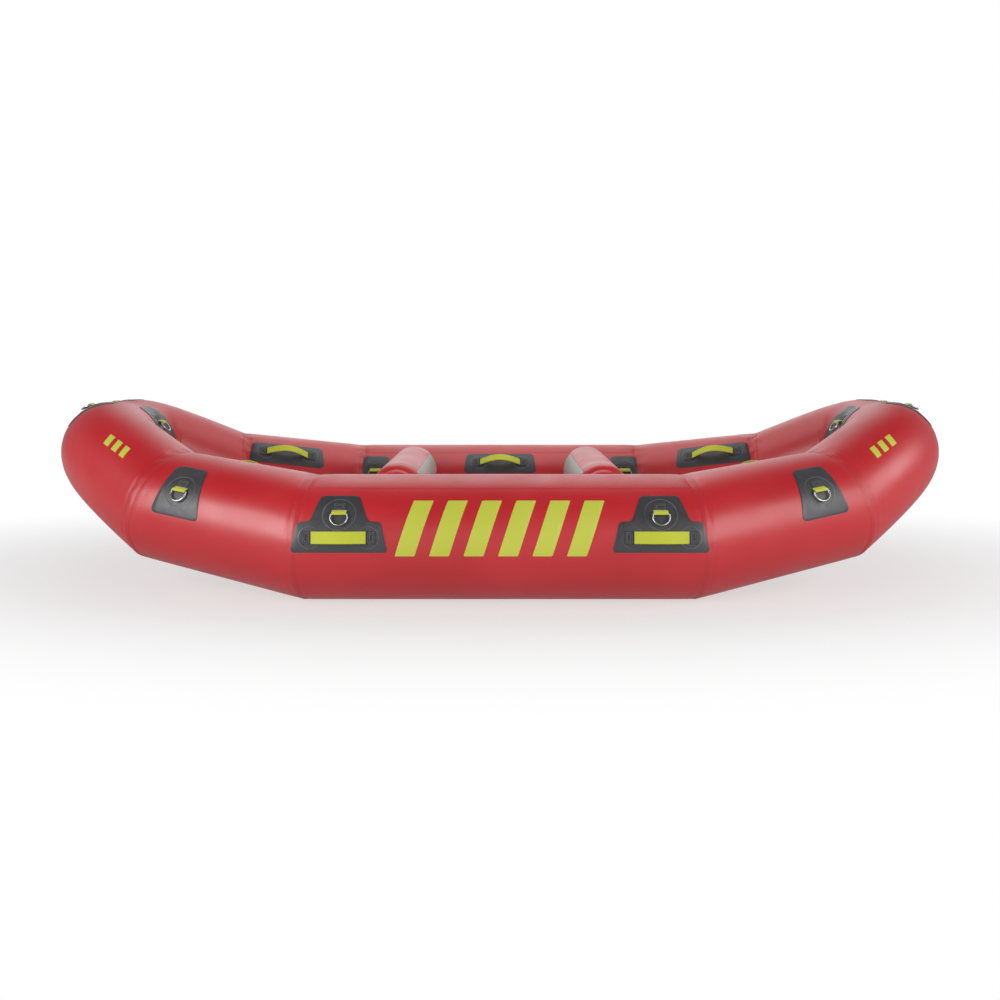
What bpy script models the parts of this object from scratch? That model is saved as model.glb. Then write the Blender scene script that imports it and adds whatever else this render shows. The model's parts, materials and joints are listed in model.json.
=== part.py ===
"""Self-bailing rescue raft: a ring of inflated tube with thwarts, floor, patches, handles and D-rings.

Metres, +Z up, +X to the bow, -Y to starboard, origin on the ground under the middle of the raft.
The ring is described along its starboard bow quarter and mirrored to the other three.
A place on the tube is (s, angle): s metres along the centreline from amidships, and angle degrees
up from the outward side, so 90 is the top of the tube and 180 faces into the raft.
"""

from math import atan2, ceil, cos, degrees, floor, pi, radians, sin, tan

import bmesh
import bpy
from mathutils import Matrix, Vector

GAP = 0.0003                # between pieces that touch
CURVED_GAP = 0.0008         # on the tube beyond the middle, where the facets are slightly twisted
INCH = 0.0254

# Tube ring
TUBE_R = 10 * INCH          # amidships: a 20 inch tube
KINK_R = 0.2388             # where the straight quarter ends
TIP_R = 0.2017              # at the middle of the bow and the stern
BEAM_Y = 0.6766             # centreline of the side tube
KINK_X = 0.7643             # end of the flat middle panel
QUARTER_END = Vector((1.4077, -0.4835, 0.3561))
TIP = Vector((1.7709, 0.0, 0.5694))
LEAVE = Vector((0.3634, 0.2459, 0.2074))        # how the bow curve leaves the quarter
ARRIVE = Vector((0.0, 0.2376, 0.0))             # and how it arrives at the tip
SIDES = 36                  # facets around the tube: flats on top, below and on both sides
FACET = 360 / SIDES
TIP_STEPS = 8               # rings from the quarter's end to the tip
STRAIGHT_RUNS = 2           # the middle and the quarter, ahead of the curve

# Thwarts: round tubes that narrow to a seam, with a domed end beyond it
THWART_X = 0.443
THWART_Z = 0.408
THWART_R = 0.115
THWART_SEAM_R = 0.095
THWART_SEAM_Y = 0.450
THWART_SHOULDER = 0.035     # over which it narrows to the seam
THWART_CROWN_R = 0.055      # the dome's flat middle
THWART_END_Y = 0.505
THWART_DOME_DROP = 0.012
THWART_SIDES = 28

# Floor
FLOOR_EDGE_R = 0.055
FLOOR_EDGE_ANGLE = 210      # where the floor's round edge lies against the tube
FLOOR_EDGE_STEPS = 6
FLOOR_RIBS = 7
FLOOR_RIB_DIP = 0.010

# Patches, webbing and D-rings
PATCH_T = 0.004
WEB_W = 2 * INCH
SINK = 0.002                # height above the tube at which webbing solids start, inside the patch
WIRE_R = 0.004
WIRE_RESOLUTION = 2
RING_HALF_W = 0.032         # to the middle of the wire
RING_LEG = 0.015
RING_CORNER_R = 0.007
RING_CORNER_STEPS = 2
RING_BOW_STEPS = 8
BAR_LIFT = 0.0112           # the ring's straight bar above the tube
SLEEVE_T = 0.0022
SLEEVE_BORE_R = 0.0045
SLEEVE_BORE_SIDES = 16
SLEEVE_REACH = 0.0125       # yellow sleeve above the bar
SLEEVE_HEEL = 0.003
SLEEVE_STEP = 0.004
TAB_T = 0.002
TAB_REACH = 0.042           # black webbing above the bar
STRAP_T = 0.005
STRAP_BOW = 0.030
STRAP_HALF_SPAN = 0.104     # the free arch
STRAP_HALF_LENGTH = 0.140   # out to the stitched ends
STRAP_STEPS = 8
STRAP_FOOT = 0.002          # from the free arch to the stitched end
SEAT_HALF_LENGTH = 0.030    # stretch of wall that a ring or valve is squared to

# Outlines of the patches, in metres along (half widths) and around the tube
RING_PATCH_TOP = 0.0675
RING_PATCH_HALF_HEIGHT = 0.112
RING_PATCH_CORNER_R = 0.022
GRIP_PATCH_WIDE = 0.190
GRIP_PATCH_NARROW = 0.176
GRIP_PATCH_HALF_HEIGHT = 0.066
GRIP_PATCH_CORNER_R = 0.028
HAT_FOOT = 0.183
HAT_SHOULDER = 0.158
HAT_NECK = 0.112
HAT_CROWN = 0.0725
HAT_BOTTOM = -0.0155
HAT_SHOULDER_V = 0.104
HAT_TOP = 0.217
HAT_CORNER_R = 0.014
HAT_NECK_R = 0.018

# Seats of the ring patches: s, angle of the outline's middle, angle of the D-ring's bar,
# half width of the foot, and how far in degrees the resting ring leans in to the tube
RING_SEATS = {
    "quarter": (1.257, 32, 30.5, 0.110, 2),
    "end": (2.015, 64, 65, 0.110, 2),
    "inner": (0.652, 150.5, 148, 0.069, 2),
    "painter": (None, 150, 150, 0.110, -4),     # at the tip
}
HAT_S = 0.617
HAT_RING_ANGLE = 30.0
HAT_RING_TILT = 2
HAT_STRAP_ANGLE = 9.5
GRIP_S = 1.190
GRIP_ANGLE = 135.5

# Valves
VALVE_R = 0.032
VALVE_CAP_R = 0.021
VALVE_FLANGE_T = 0.005
VALVE_CAP_T = 0.014
VALVE_BEVEL = 0.003
VALVE_SIDES = 16
VALVE_S = 0.930
VALVE_ANGLE = 180
THWART_VALVE_Y = 0.25

STARBOARD_PORT = (("starboard", 1), ("port", -1))
BOW_STERN = (("bow", 1), ("stern", -1))
FORE_AFT = (("fore", 1), ("aft", -1))
UP = Vector((0, 0, 1))


def material(name, colour, roughness, metallic=0.0):
    mat = bpy.data.materials.new(name)
    mat.use_nodes = True
    shader = mat.node_tree.nodes["Principled BSDF"]
    shader.inputs["Base Color"].default_value = (*colour, 1)
    shader.inputs["Roughness"].default_value = roughness
    shader.inputs["Metallic"].default_value = metallic
    return mat


def add_object(name, mesh, mat):
    obj = bpy.data.objects.new(name, mesh)
    mesh.materials.append(mat)
    PARTS.objects.link(obj)
    return obj


def mesh_from(bm, name):
    bmesh.ops.recalc_face_normals(bm, faces=bm.faces)
    mesh = bpy.data.meshes.new(name)
    bm.to_mesh(mesh)
    bm.free()
    return mesh


def smooth(mesh, angle=30):
    mesh.shade_smooth()
    mesh.set_sharp_from_angle(angle=radians(angle))


def flat_copy(obj, name):
    """The object's evaluated mesh in world space; the object itself is removed."""
    bpy.context.view_layer.update()
    evaluated = obj.evaluated_get(bpy.context.evaluated_depsgraph_get())
    mesh = bpy.data.meshes.new_from_object(evaluated)
    mesh.transform(obj.matrix_world)
    mesh.name = name
    bpy.data.objects.remove(obj)
    bm = bmesh.new()
    bm.from_mesh(mesh)
    bmesh.ops.remove_doubles(bm, verts=bm.verts, dist=0.00005)
    bmesh.ops.recalc_face_normals(bm, faces=bm.faces)
    bm.to_mesh(mesh)
    bm.free()
    return mesh


def combine(obj, tool_mesh, operation):
    """Boolean with a mesh that is already in world space, kept as the object's new mesh."""
    tool = bpy.data.objects.new("tool", tool_mesh)
    CUTTERS.objects.link(tool)
    cut = obj.modifiers.new("combine", "BOOLEAN")
    cut.operation = operation
    cut.object = tool
    name = obj.data.name
    bpy.context.view_layer.update()
    evaluated = obj.evaluated_get(bpy.context.evaluated_depsgraph_get())
    mesh = bpy.data.meshes.new_from_object(evaluated)
    obj.modifiers.clear()
    obj.data = mesh
    mesh.name = name
    bpy.data.objects.remove(tool)


def plate(outlines, half_depth, place):
    """Mesh of flat outlines, the later ones holes, extruded both ways along their Z."""
    curve = bpy.data.curves.new("outline", "CURVE")
    curve.dimensions = "2D"
    curve.fill_mode = "BOTH"
    curve.extrude = half_depth
    for outline in outlines:
        spline = curve.splines.new("POLY")
        spline.points.add(len(outline) - 1)
        for point, (x, y) in zip(spline.points, outline):
            point.co = (x, y, 0, 1)
        spline.use_cyclic_u = True
    obj = bpy.data.objects.new("outline", curve)
    CUTTERS.objects.link(obj)
    obj.matrix_world = place
    return flat_copy(obj, "plate")


def arc(centre, radius, start, end, steps):
    """Points on a circle from one angle to another, in degrees."""
    for i in range(steps + 1):
        a = radians(start + (end - start) * i / steps)
        yield (centre[0] + radius * cos(a), centre[1] + radius * sin(a))


def rounded(corners, radius, steps=3):
    """Polygon with its corners rounded; a corner may bring its own radius as a third number."""
    points = []
    for i, corner in enumerate(corners):
        here = Vector(corner[:2])
        size = corner[2] if len(corner) > 2 else radius
        back = (Vector(corners[i - 1][:2]) - here).normalized()
        on = (Vector(corners[(i + 1) % len(corners)][:2]) - here).normalized()
        half = back.angle(on) / 2
        centre = here + (back + on).normalized() * size / sin(half)
        first = here + back * size / tan(half) - centre
        last = here + on * size / tan(half) - centre
        begin = atan2(first.y, first.x)
        turn = (atan2(last.y, last.x) - begin + pi) % (2 * pi) - pi
        points += arc(centre, size, degrees(begin), degrees(begin + turn), steps)
    return points


# The tube ring's geometry

def slid_spoke(centre, along, cut, length, angle):
    """End of a spoke of a tube run, slid along the run onto the plane with normal cut."""
    side = along.cross(UP).normalized()
    up = side.cross(along).normalized()
    spoke = (side * cos(radians(angle)) + up * sin(radians(angle))) * length
    return centre + spoke - along * spoke.dot(cut) / along.dot(cut)


def section(centre, along, cut, radius):
    """Ring of wall points around a run of tube, whose facets lie at the radius."""
    corner = radius / cos(pi / SIDES)
    return [slid_spoke(centre, along, cut, corner, FACET * (k + 0.5)) for k in range(SIDES)]


def tip_curve(t):
    """Centre, direction and radius of the tube between the quarter's end and the tip."""
    b = (QUARTER_END, QUARTER_END + LEAVE, TIP - ARRIVE, TIP)
    q = 1 - t
    centre = b[0] * q**3 + b[1] * 3 * q * q * t + b[2] * 3 * q * t * t + b[3] * t**3
    along = (b[1] - b[0]) * q * q + (b[2] - b[1]) * 2 * q * t + (b[3] - b[2]) * t * t
    return centre, along.normalized(), KINK_R + (TIP_R - KINK_R) * t


def mirrored(points, x=1, y=1):
    return [Vector((p.x * x, p.y * y, p.z)) for p in points]


def quadrant():
    """(s, centre, along, cut, radius) at the kinks and round the curve, up to the bow's tip."""
    middle = Vector((KINK_X, -BEAM_Y, TUBE_R))
    ahead = Vector((1, 0, 0))
    run = (QUARTER_END - middle).normalized()
    s = KINK_X
    stations = [(s, middle, ahead, ahead + run, TUBE_R)]
    s += (QUARTER_END - middle).length
    stations.append((s, QUARTER_END, run, run + LEAVE.normalized(), KINK_R))
    before = QUARTER_END
    for i in range(1, TIP_STEPS + 1):
        centre, along, radius = tip_curve(i / TIP_STEPS)
        s += (centre - before).length
        before = centre
        stations.append((s, centre, along, along, radius))
    return stations


def tube_stations():
    """(s, centre, ring) from the stern end of the starboard middle round the bow to the port one."""
    half = [(s, centre, section(centre, along, cut, radius)) for s, centre, along, cut, radius in QUADRANT]
    tip_s = half[-1][0]
    first = (-KINK_X, mirrored([half[0][1]], x=-1)[0], mirrored(half[0][2], x=-1))
    back = [(2 * tip_s - s, mirrored([c], y=-1)[0], mirrored(ring, y=-1)) for s, c, ring in half[-2::-1]]
    return [first] + half + back


QUADRANT = quadrant()
STATIONS = tube_stations()
TIP_S = QUADRANT[-1][0]


def facet(angle):
    """Index of the facet that holds an angle, and how far across it the angle lies, 0 to 1."""
    place = angle / FACET - 0.5
    k = floor(place)
    across = 0.5 + tan(radians((place - k - 0.5) * FACET)) / (2 * tan(pi / SIDES))
    return k, across


def stations_around(s, home):
    """The two stations around s; what sits on a straight run keeps to that run's own two."""
    i = 0
    place = home if home < QUADRANT[1][0] else s
    while i < len(STATIONS) - 2 and place > STATIONS[i + 1][0]:
        i += 1
    return i, STATIONS[i], STATIONS[i + 1]


def centre_at(s, home):
    _, (s0, c0, _), (s1, c1, _) = stations_around(s, home)
    return c0.lerp(c1, (s - s0) / (s1 - s0))


def wall(s, angle, home, lift=0.0):
    """Point over the faceted wall, for a piece whose middle is at home, lifted out from the centreline.

    Along the straight runs s is measured square to the run, past the slant of the mitred kinks.
    """
    i, (s0, c0, ring0), (s1, c1, ring1) = stations_around(s, home)
    run = (c1 - c0).normalized()
    k, across = facet(angle)
    low, high = k % SIDES, (k + 1) % SIDES
    on0 = ring0[low].lerp(ring0[high], across)
    on1 = ring1[low].lerp(ring1[high], across)
    slant0 = (on0 - c0).dot(run) if i < STRAIGHT_RUNS else 0
    slant1 = (on1 - c1).dot(run) if i < STRAIGHT_RUNS else 0
    f = (s - s0 - slant0) / (s1 + slant1 - s0 - slant0)
    point = on0.lerp(on1, f)
    return point + (point - centre_at(s, home)).normalized() * lift


def flip_matrix(x, y):
    return Matrix.Diagonal((x, y, 1, 1))


def seat_frame(s, angle, half_length, x=1, y=1):
    """Matrix of a seat on the wall: X along the tube, Y up around it, Z straight out."""
    k, _ = facet(angle)
    origin = wall(s, angle, s)
    along = (wall(s + half_length, angle, s) - wall(s - half_length, angle, s)).normalized()
    around = wall(s, (k + 1.5) * FACET - 0.001, s) - wall(s, (k + 0.5) * FACET + 0.001, s)
    around = (around - along * around.dot(along)).normalized()
    out = along.cross(around)
    frame = Matrix((along, around, out)).transposed().to_4x4()
    frame.translation = origin
    return flip_matrix(x, y) @ frame @ Matrix.Diagonal((x * y, 1, 1, 1))


def loft(name, rings, mat):
    """Closed solid through a list of rings with equal numbers of points."""
    bm = bmesh.new()
    loops = [[bm.verts.new(p) for p in ring] for ring in rings]
    count = len(rings[0])
    for low, high in zip(loops, loops[1:]):
        for k in range(count):
            m = (k + 1) % count
            bm.faces.new((low[k], low[m], high[m], high[k]))
    bm.faces.new(loops[0])
    bm.faces.new(loops[-1])
    mesh = mesh_from(bm, name)
    smooth(mesh)
    return add_object(name, mesh, mat)


# Tubes, thwarts and floor

def shifted(ring, along, distance):
    return [p + along * distance for p in ring]


def make_tubes():
    """Eight panels: two middles, four quarters and the two ends."""
    kink = STATIONS[1][2]
    quarter_end = STATIONS[2][2]
    ahead = Vector((1, 0, 0))
    run = (STATIONS[2][1] - STATIONS[1][1]).normalized()
    leave = LEAVE.normalized()
    fore = shifted(kink, ahead, -GAP / 2)
    aft = mirrored(fore, x=-1)
    for side, y in STARBOARD_PORT:
        loft(f"tube_mid_{side}", [mirrored(aft, y=y), mirrored(fore, y=y)], RED)
        for end, x in BOW_STERN:
            rings = [shifted(kink, run, GAP / 2), shifted(quarter_end, run, -GAP / 2)]
            loft(f"tube_quarter_{end}_{side}", [mirrored(ring, x, y) for ring in rings], RED)
    half = [shifted(quarter_end, leave, GAP / 2)] + [station[2] for station in STATIONS[3:3 + TIP_STEPS]]
    whole = half + [mirrored(ring, y=-1) for ring in half[-2::-1]]
    for end, x in BOW_STERN:
        loft(f"tube_end_{end}", [mirrored(ring, x) for ring in whole], RED)


def make_thwarts():
    """Inflated cross tubes whose round ends are pressed to the side tubes."""
    profile = [(0, THWART_END_Y), (THWART_CROWN_R, THWART_END_Y - THWART_DOME_DROP),
               (THWART_SEAM_R, THWART_SEAM_Y), (THWART_R, THWART_SEAM_Y - THWART_SHOULDER)]
    profile += [(r, -y) for r, y in reversed(profile)]
    for end, x in FORE_AFT:
        bm = bmesh.new()
        verts = [bm.verts.new((r, 0, z)) for r, z in profile]
        for a, b in zip(verts, verts[1:]):
            bm.edges.new((a, b))
        mesh = bpy.data.meshes.new("profile")
        bm.to_mesh(mesh)
        bm.free()
        turned = bpy.data.objects.new("profile", mesh)
        CUTTERS.objects.link(turned)
        screw = turned.modifiers.new("turn", "SCREW")
        screw.steps = screw.render_steps = THWART_SIDES
        screw.use_merge_vertices = True
        screw.merge_threshold = 0.00005
        middle = Matrix.Translation((THWART_X * x, 0, THWART_Z))
        turned.matrix_world = middle @ Matrix.Rotation(pi / 2, 4, "X")
        thwart = add_object(f"thwart_{end}", flat_copy(turned, f"thwart_{end}"), RED)
        for _, y in STARBOARD_PORT:
            ahead = Vector((1, 0, 0))
            middles = [Vector((KINK_X * e, -BEAM_Y, TUBE_R)) for e in (-1, 1)]
            ends = [section(middle, ahead, ahead, TUBE_R + GAP) for middle in middles]
            tool = loft("tool", [mirrored(ring, y=y) for ring in ends], RED)
            combine(thwart, flat_copy(tool, "tool"), "DIFFERENCE")
        smooth(thwart.data)


def floor_section(edge, normal):
    """Ring of points of the floor between its two round edges, ribbed on top and flat below."""
    width = abs(edge.y)
    centre = Vector((edge.x, 0, edge.z))
    ring = []
    for y, z in arc((width, 0), FLOOR_EDGE_R, -90, 90, FLOOR_EDGE_STEPS):
        ring.append(centre + Vector((0, y, 0)) + normal * z)
    rib_steps = 2 * FLOOR_RIBS
    for i in range(1, rib_steps):
        dip = FLOOR_RIB_DIP if i % 2 == 0 else 0
        ring.append(centre + Vector((0, width * (1 - 2 * i / rib_steps), 0)) + normal * (FLOOR_EDGE_R - dip))
    for y, z in arc((-width, 0), FLOOR_EDGE_R, 90, 270, FLOOR_EDGE_STEPS):
        ring.append(centre + Vector((0, y, 0)) + normal * z)
    return ring


def make_floor():
    """Inflated floor whose edges follow the tube up into the bow and the stern."""
    edges = []
    for s, centre, along, cut, radius in QUADRANT[:-1]:
        gap = CURVED_GAP if s > KINK_X else GAP
        reach = radius / cos(pi / SIDES) + FLOOR_EDGE_R + gap
        edges.append(slid_spoke(centre, along, cut, reach, FLOOR_EDGE_ANGLE))
    run = [Vector((-e.x, e.y, e.z)) for e in reversed(edges)] + edges
    rings = []
    for i, edge in enumerate(run):
        before, after = run[max(i - 1, 0)], run[min(i + 1, len(run) - 1)]
        slope = Vector((after.x - before.x, 0, after.z - before.z)).normalized()
        normal = Vector((-slope.z, 0, slope.x))
        rings.append(floor_section(edge, normal))
    loft("floor", rings, GREY)


# Patches with what is sewn to them

def stretch_at(s, angle):
    """Length of wall for each metre of centreline: over 1 on the outside of a curve, under 1 inside it."""
    reach = wall(s + SEAT_HALF_LENGTH, angle, s) - wall(s - SEAT_HALF_LENGTH, angle, s)
    return reach.length / (2 * SEAT_HALF_LENGTH)


def wrapped_patch(name, outline, s0, angle0, x, y):
    """Flat outline laid on the tube: u along it and v around it, in metres from (s0, angle0)."""
    middle = round(angle0 / FACET) * FACET
    radius = (wall(s0, middle, s0) - centre_at(s0, s0)).length
    stretch = stretch_at(s0, angle0)
    gap = CURVED_GAP if s0 > KINK_X else GAP
    bm = bmesh.new()
    bm.faces.new([bm.verts.new((u, v, 0)) for u, v in outline])
    low = angle0 + degrees(min(v for _, v in outline) / radius)
    high = angle0 + degrees(max(v for _, v in outline) / radius)
    for k in range(ceil(low / FACET - 0.5), floor(high / FACET - 0.5) + 1):
        line = radians((k + 0.5) * FACET - angle0) * radius
        geometry = bm.verts[:] + bm.edges[:] + bm.faces[:]
        bmesh.ops.bisect_plane(bm, geom=geometry, plane_co=(0, line, 0), plane_no=(0, 1, 0), dist=1e-5)
    for s, _, _ in STATIONS:
        line = (s - s0) * stretch
        if min(u for u, _ in outline) < line < max(u for u, _ in outline):
            geometry = bm.verts[:] + bm.edges[:] + bm.faces[:]
            bmesh.ops.bisect_plane(bm, geom=geometry, plane_co=(line, 0, 0), plane_no=(1, 0, 0), dist=1e-5)
    raised = bmesh.ops.extrude_face_region(bm, geom=bm.faces[:], use_keep_orig=True)
    for item in raised["geom"]:
        if isinstance(item, bmesh.types.BMVert):
            item.co.z = PATCH_T
    for vert in bm.verts:
        u, v, lift = vert.co
        point = wall(s0 + u / stretch, angle0 + degrees(v / radius), s0, gap + lift)
        vert.co = Vector((point.x * x, point.y * y, point.z))
    bmesh.ops.triangulate(bm, faces=bm.faces)
    return add_object(name, mesh_from(bm, name), CHARCOAL)


def sleeve_outline():
    """Section of the webbing around a ring's bar, up the tube in x and out from it in y."""
    outer = SLEEVE_BORE_R + SLEEVE_T
    bar = (0, BAR_LIFT)
    points = list(arc(bar, outer, 90, 230, 5))
    tab_top = GAP + PATCH_T + TAB_T
    points += [(-SLEEVE_HEEL, SINK), (TAB_REACH, SINK), (TAB_REACH, tab_top)]
    points += [(SLEEVE_REACH + SLEEVE_STEP, tab_top), (SLEEVE_REACH, BAR_LIFT + outer / 2)]
    return points


def add_sleeve(patch, frame):
    """Sew the sleeve that holds a D-ring to its patch."""
    turn = 360 / SLEEVE_BORE_SIDES
    hole = list(arc((0, BAR_LIFT), SLEEVE_BORE_R, 0, 360 - turn, SLEEVE_BORE_SIDES - 1))
    place = frame @ Matrix(((0, 0, 1, 0), (1, 0, 0, 0), (0, 1, 0, 0), (0, 0, 0, 1)))
    combine(patch, plate([sleeve_outline(), hole], WEB_W / 2, place), "UNION")


def add_strap(patch, frame):
    """Sew a bowed webbing handle to its patch, with a finger gap behind it."""
    patch_top = GAP + PATCH_T
    under, over = [], []
    for i in range(STRAP_STEPS + 1):
        u = STRAP_HALF_SPAN * (2 * i / STRAP_STEPS - 1)
        height = patch_top + STRAP_BOW * cos(pi / 2 * u / STRAP_HALF_SPAN)
        under.append((u, height))
        over.append((-u, height + STRAP_T))
    heel = STRAP_HALF_SPAN + STRAP_FOOT
    under = [(-STRAP_HALF_LENGTH, SINK), (-heel, SINK)] + under + [(heel, SINK), (STRAP_HALF_LENGTH, SINK)]
    over = [(STRAP_HALF_LENGTH, patch_top + TAB_T)] + over + [(-STRAP_HALF_LENGTH, patch_top + TAB_T)]
    place = frame @ Matrix(((1, 0, 0, 0), (0, 0, -1, 0), (0, 1, 0, 0), (0, 0, 0, 1)))
    combine(patch, plate([under + over], WEB_W / 2, place), "UNION")


def ring_mesh():
    """D-ring with its straight bar along X at the origin and the bow hanging to -Y."""
    corner = RING_CORNER_R
    points = list(arc((RING_HALF_W - corner, -corner), corner, 90, 0, RING_CORNER_STEPS))
    points += list(arc((0, -RING_LEG), RING_HALF_W, 0, -180, RING_BOW_STEPS))
    points += list(arc((corner - RING_HALF_W, -corner), corner, 180, 90, RING_CORNER_STEPS))
    curve = bpy.data.curves.new("d_ring", "CURVE")
    curve.dimensions = "3D"
    curve.bevel_depth = WIRE_R
    curve.bevel_resolution = WIRE_RESOLUTION
    spline = curve.splines.new("POLY")
    spline.points.add(len(points) - 1)
    for point, (x, y) in zip(spline.points, points):
        point.co = (x, y, 0, 1)
    spline.use_cyclic_u = True
    obj = bpy.data.objects.new("d_ring", curve)
    CUTTERS.objects.link(obj)
    mesh = flat_copy(obj, "d_ring")
    smooth(mesh, 60)
    return mesh


def add_ring(name, frame, tilt):
    """Hang a D-ring in its sleeve, with the object's origin on the bar."""
    ring = add_object(name, RING_MESH.copy(), STEEL)
    ring.matrix_world = frame @ Matrix.Translation((0, 0, BAR_LIFT)) @ Matrix.Rotation(radians(tilt), 4, "X")
    return ring


def ring_patch_outline(foot):
    """Trapezoid with rounded corners; foot is the half width of its wide lower edge."""
    low, high = -RING_PATCH_HALF_HEIGHT, RING_PATCH_HALF_HEIGHT
    corners = [(-foot, low), (foot, low), (RING_PATCH_TOP, high), (-RING_PATCH_TOP, high)]
    return rounded(corners, RING_PATCH_CORNER_R)


def grip_patch_outline():
    low, high = -GRIP_PATCH_HALF_HEIGHT, GRIP_PATCH_HALF_HEIGHT
    corners = [(-GRIP_PATCH_NARROW, low), (GRIP_PATCH_NARROW, low), (GRIP_PATCH_WIDE, high),
               (-GRIP_PATCH_WIDE, high)]
    return rounded(corners, GRIP_PATCH_CORNER_R)


def hat_patch_outline():
    """Wide brim under a narrower crown, symmetrical about u = 0."""
    right = [(HAT_FOOT, HAT_BOTTOM), (HAT_SHOULDER, HAT_SHOULDER_V), (HAT_NECK, HAT_SHOULDER_V, HAT_NECK_R),
             (HAT_CROWN, HAT_TOP)]
    left = [(-corner[0], *corner[1:]) for corner in reversed(right)]
    return rounded(right + left, HAT_CORNER_R)


def ring_turned(frame, angle):
    """Inner seats hang the other way round the tube, so that the ring's bow points down."""
    return frame @ Matrix.Rotation(pi, 4, "Z") if angle > 90 else frame


def make_ring_patch(kind, place, x, y):
    """Trapezoid patch with its sleeve and D-ring; kind and place go into the names."""
    s, middle, bar, foot, tilt = RING_SEATS[kind]
    s = s or TIP_S
    outline = ring_patch_outline(foot)
    if middle > 90:
        outline = [(u, -v) for u, v in reversed(outline)]
    patch = wrapped_patch(f"{kind}_patch_{place}", outline, s, middle, x, y)
    frame = ring_turned(seat_frame(s, bar, SEAT_HALF_LENGTH, x, y), bar)
    add_sleeve(patch, frame)
    add_ring(f"{kind}_ring_{place}", frame, tilt)


def make_ring_patches():
    for end, x in BOW_STERN:
        for side, y in STARBOARD_PORT:
            for kind in ("quarter", "end", "inner"):
                make_ring_patch(kind, f"{end}_{side}", x, y)
        make_ring_patch("painter", end, x, 1)


def make_hat_patches():
    """Outer middle patches, each with a D-ring above a handle."""
    outline = hat_patch_outline()
    for end, x in BOW_STERN:
        for side, y in STARBOARD_PORT:
            patch = wrapped_patch(f"side_patch_{end}_{side}", outline, HAT_S, 0, x, y)
            frame = seat_frame(HAT_S, HAT_RING_ANGLE, SEAT_HALF_LENGTH, x, y)
            add_sleeve(patch, frame)
            add_strap(patch, seat_frame(HAT_S, HAT_STRAP_ANGLE, STRAP_HALF_LENGTH, x, y))
            add_ring(f"side_ring_{end}_{side}", frame, HAT_RING_TILT)


def make_grip_patches():
    """Inner patches with a handle, at the middle of each side and on each quarter."""
    outline = grip_patch_outline()
    for side, y in STARBOARD_PORT:
        patch = wrapped_patch(f"grip_patch_mid_{side}", outline, 0, GRIP_ANGLE, 1, y)
        add_strap(patch, seat_frame(0, GRIP_ANGLE, STRAP_HALF_LENGTH, 1, y))
        for end, x in BOW_STERN:
            patch = wrapped_patch(f"grip_patch_{end}_{side}", outline, GRIP_S, GRIP_ANGLE, x, y)
            add_strap(patch, seat_frame(GRIP_S, GRIP_ANGLE, STRAP_HALF_LENGTH, x, y))


# Valves

def add_valve(name, place):
    """Turned flange and cap, seated by a matrix whose Z points out of the tube."""
    top = VALVE_FLANGE_T + VALVE_CAP_T
    profile = [(0, top), (VALVE_CAP_R - VALVE_BEVEL, top), (VALVE_CAP_R, top - VALVE_BEVEL),
               (VALVE_CAP_R, VALVE_FLANGE_T), (VALVE_R - VALVE_BEVEL, VALVE_FLANGE_T),
               (VALVE_R, VALVE_FLANGE_T - VALVE_BEVEL), (VALVE_R, 0), (0, 0)]
    bm = bmesh.new()
    verts = [bm.verts.new((r, 0, z)) for r, z in profile]
    for a, b in zip(verts, verts[1:]):
        bm.edges.new((a, b))
    mesh = bpy.data.meshes.new(name)
    bm.to_mesh(mesh)
    bm.free()
    valve = add_object(name, mesh, BLACK)
    screw = valve.modifiers.new("turn", "SCREW")
    screw.steps = screw.render_steps = VALVE_SIDES
    screw.use_merge_vertices = True
    screw.merge_threshold = 0.00005
    valve.matrix_world = place @ Matrix.Translation((0, 0, GAP))


def make_valves():
    for end, x in BOW_STERN:
        for side, y in STARBOARD_PORT:
            frame = seat_frame(VALVE_S, VALVE_ANGLE, SEAT_HALF_LENGTH, x, y)
            add_valve(f"valve_{end}_{side}", frame)
    for end, x in FORE_AFT:
        turn = Matrix.Rotation(pi / 2 * x, 4, "Y")
        middle = Matrix.Translation((THWART_X * x, THWART_VALVE_Y, THWART_Z))
        add_valve(f"valve_thwart_{end}", middle @ turn @ Matrix.Translation((0, 0, THWART_R)))


def main():
    make_tubes()
    make_thwarts()
    make_floor()
    make_ring_patches()
    make_hat_patches()
    make_grip_patches()
    make_valves()


for old in list(bpy.data.objects):
    bpy.data.objects.remove(old)
PARTS = bpy.data.collections.new("rescue_raft")
CUTTERS = bpy.data.collections.new("cutters")
for group in (PARTS, CUTTERS):
    bpy.context.scene.collection.children.link(group)
RED = material("red_fabric", (0.56, 0.03, 0.04), 0.45)
GREY = material("grey_fabric", (0.50, 0.50, 0.46), 0.5)
CHARCOAL = material("charcoal_patch", (0.065, 0.060, 0.065), 0.5)
BLACK = material("black_plastic", (0.02, 0.02, 0.02), 0.4)
STEEL = material("stainless_steel", (0.62, 0.62, 0.60), 0.25, 1.0)
RING_MESH = ring_mesh()
main()
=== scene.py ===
# %% [markdown]
# # Dressing an inflatable rescue raft
#
# The packed frame already holds every solid of the raft at its real size. This lesson puts the
# looks on it: tube panels rolled from flat fabric, seam tapes, moulded patches, webbing, rings.
# A raft is made from flat sheets that are cut, rolled and glued, and it is modelled the same way.

# %% Load the frame
import json
from bisect import bisect_right
from math import atan2, cos, degrees, exp, pi, radians, sin, sqrt

import bmesh
import bpy
from mathutils import Matrix, Vector


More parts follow.
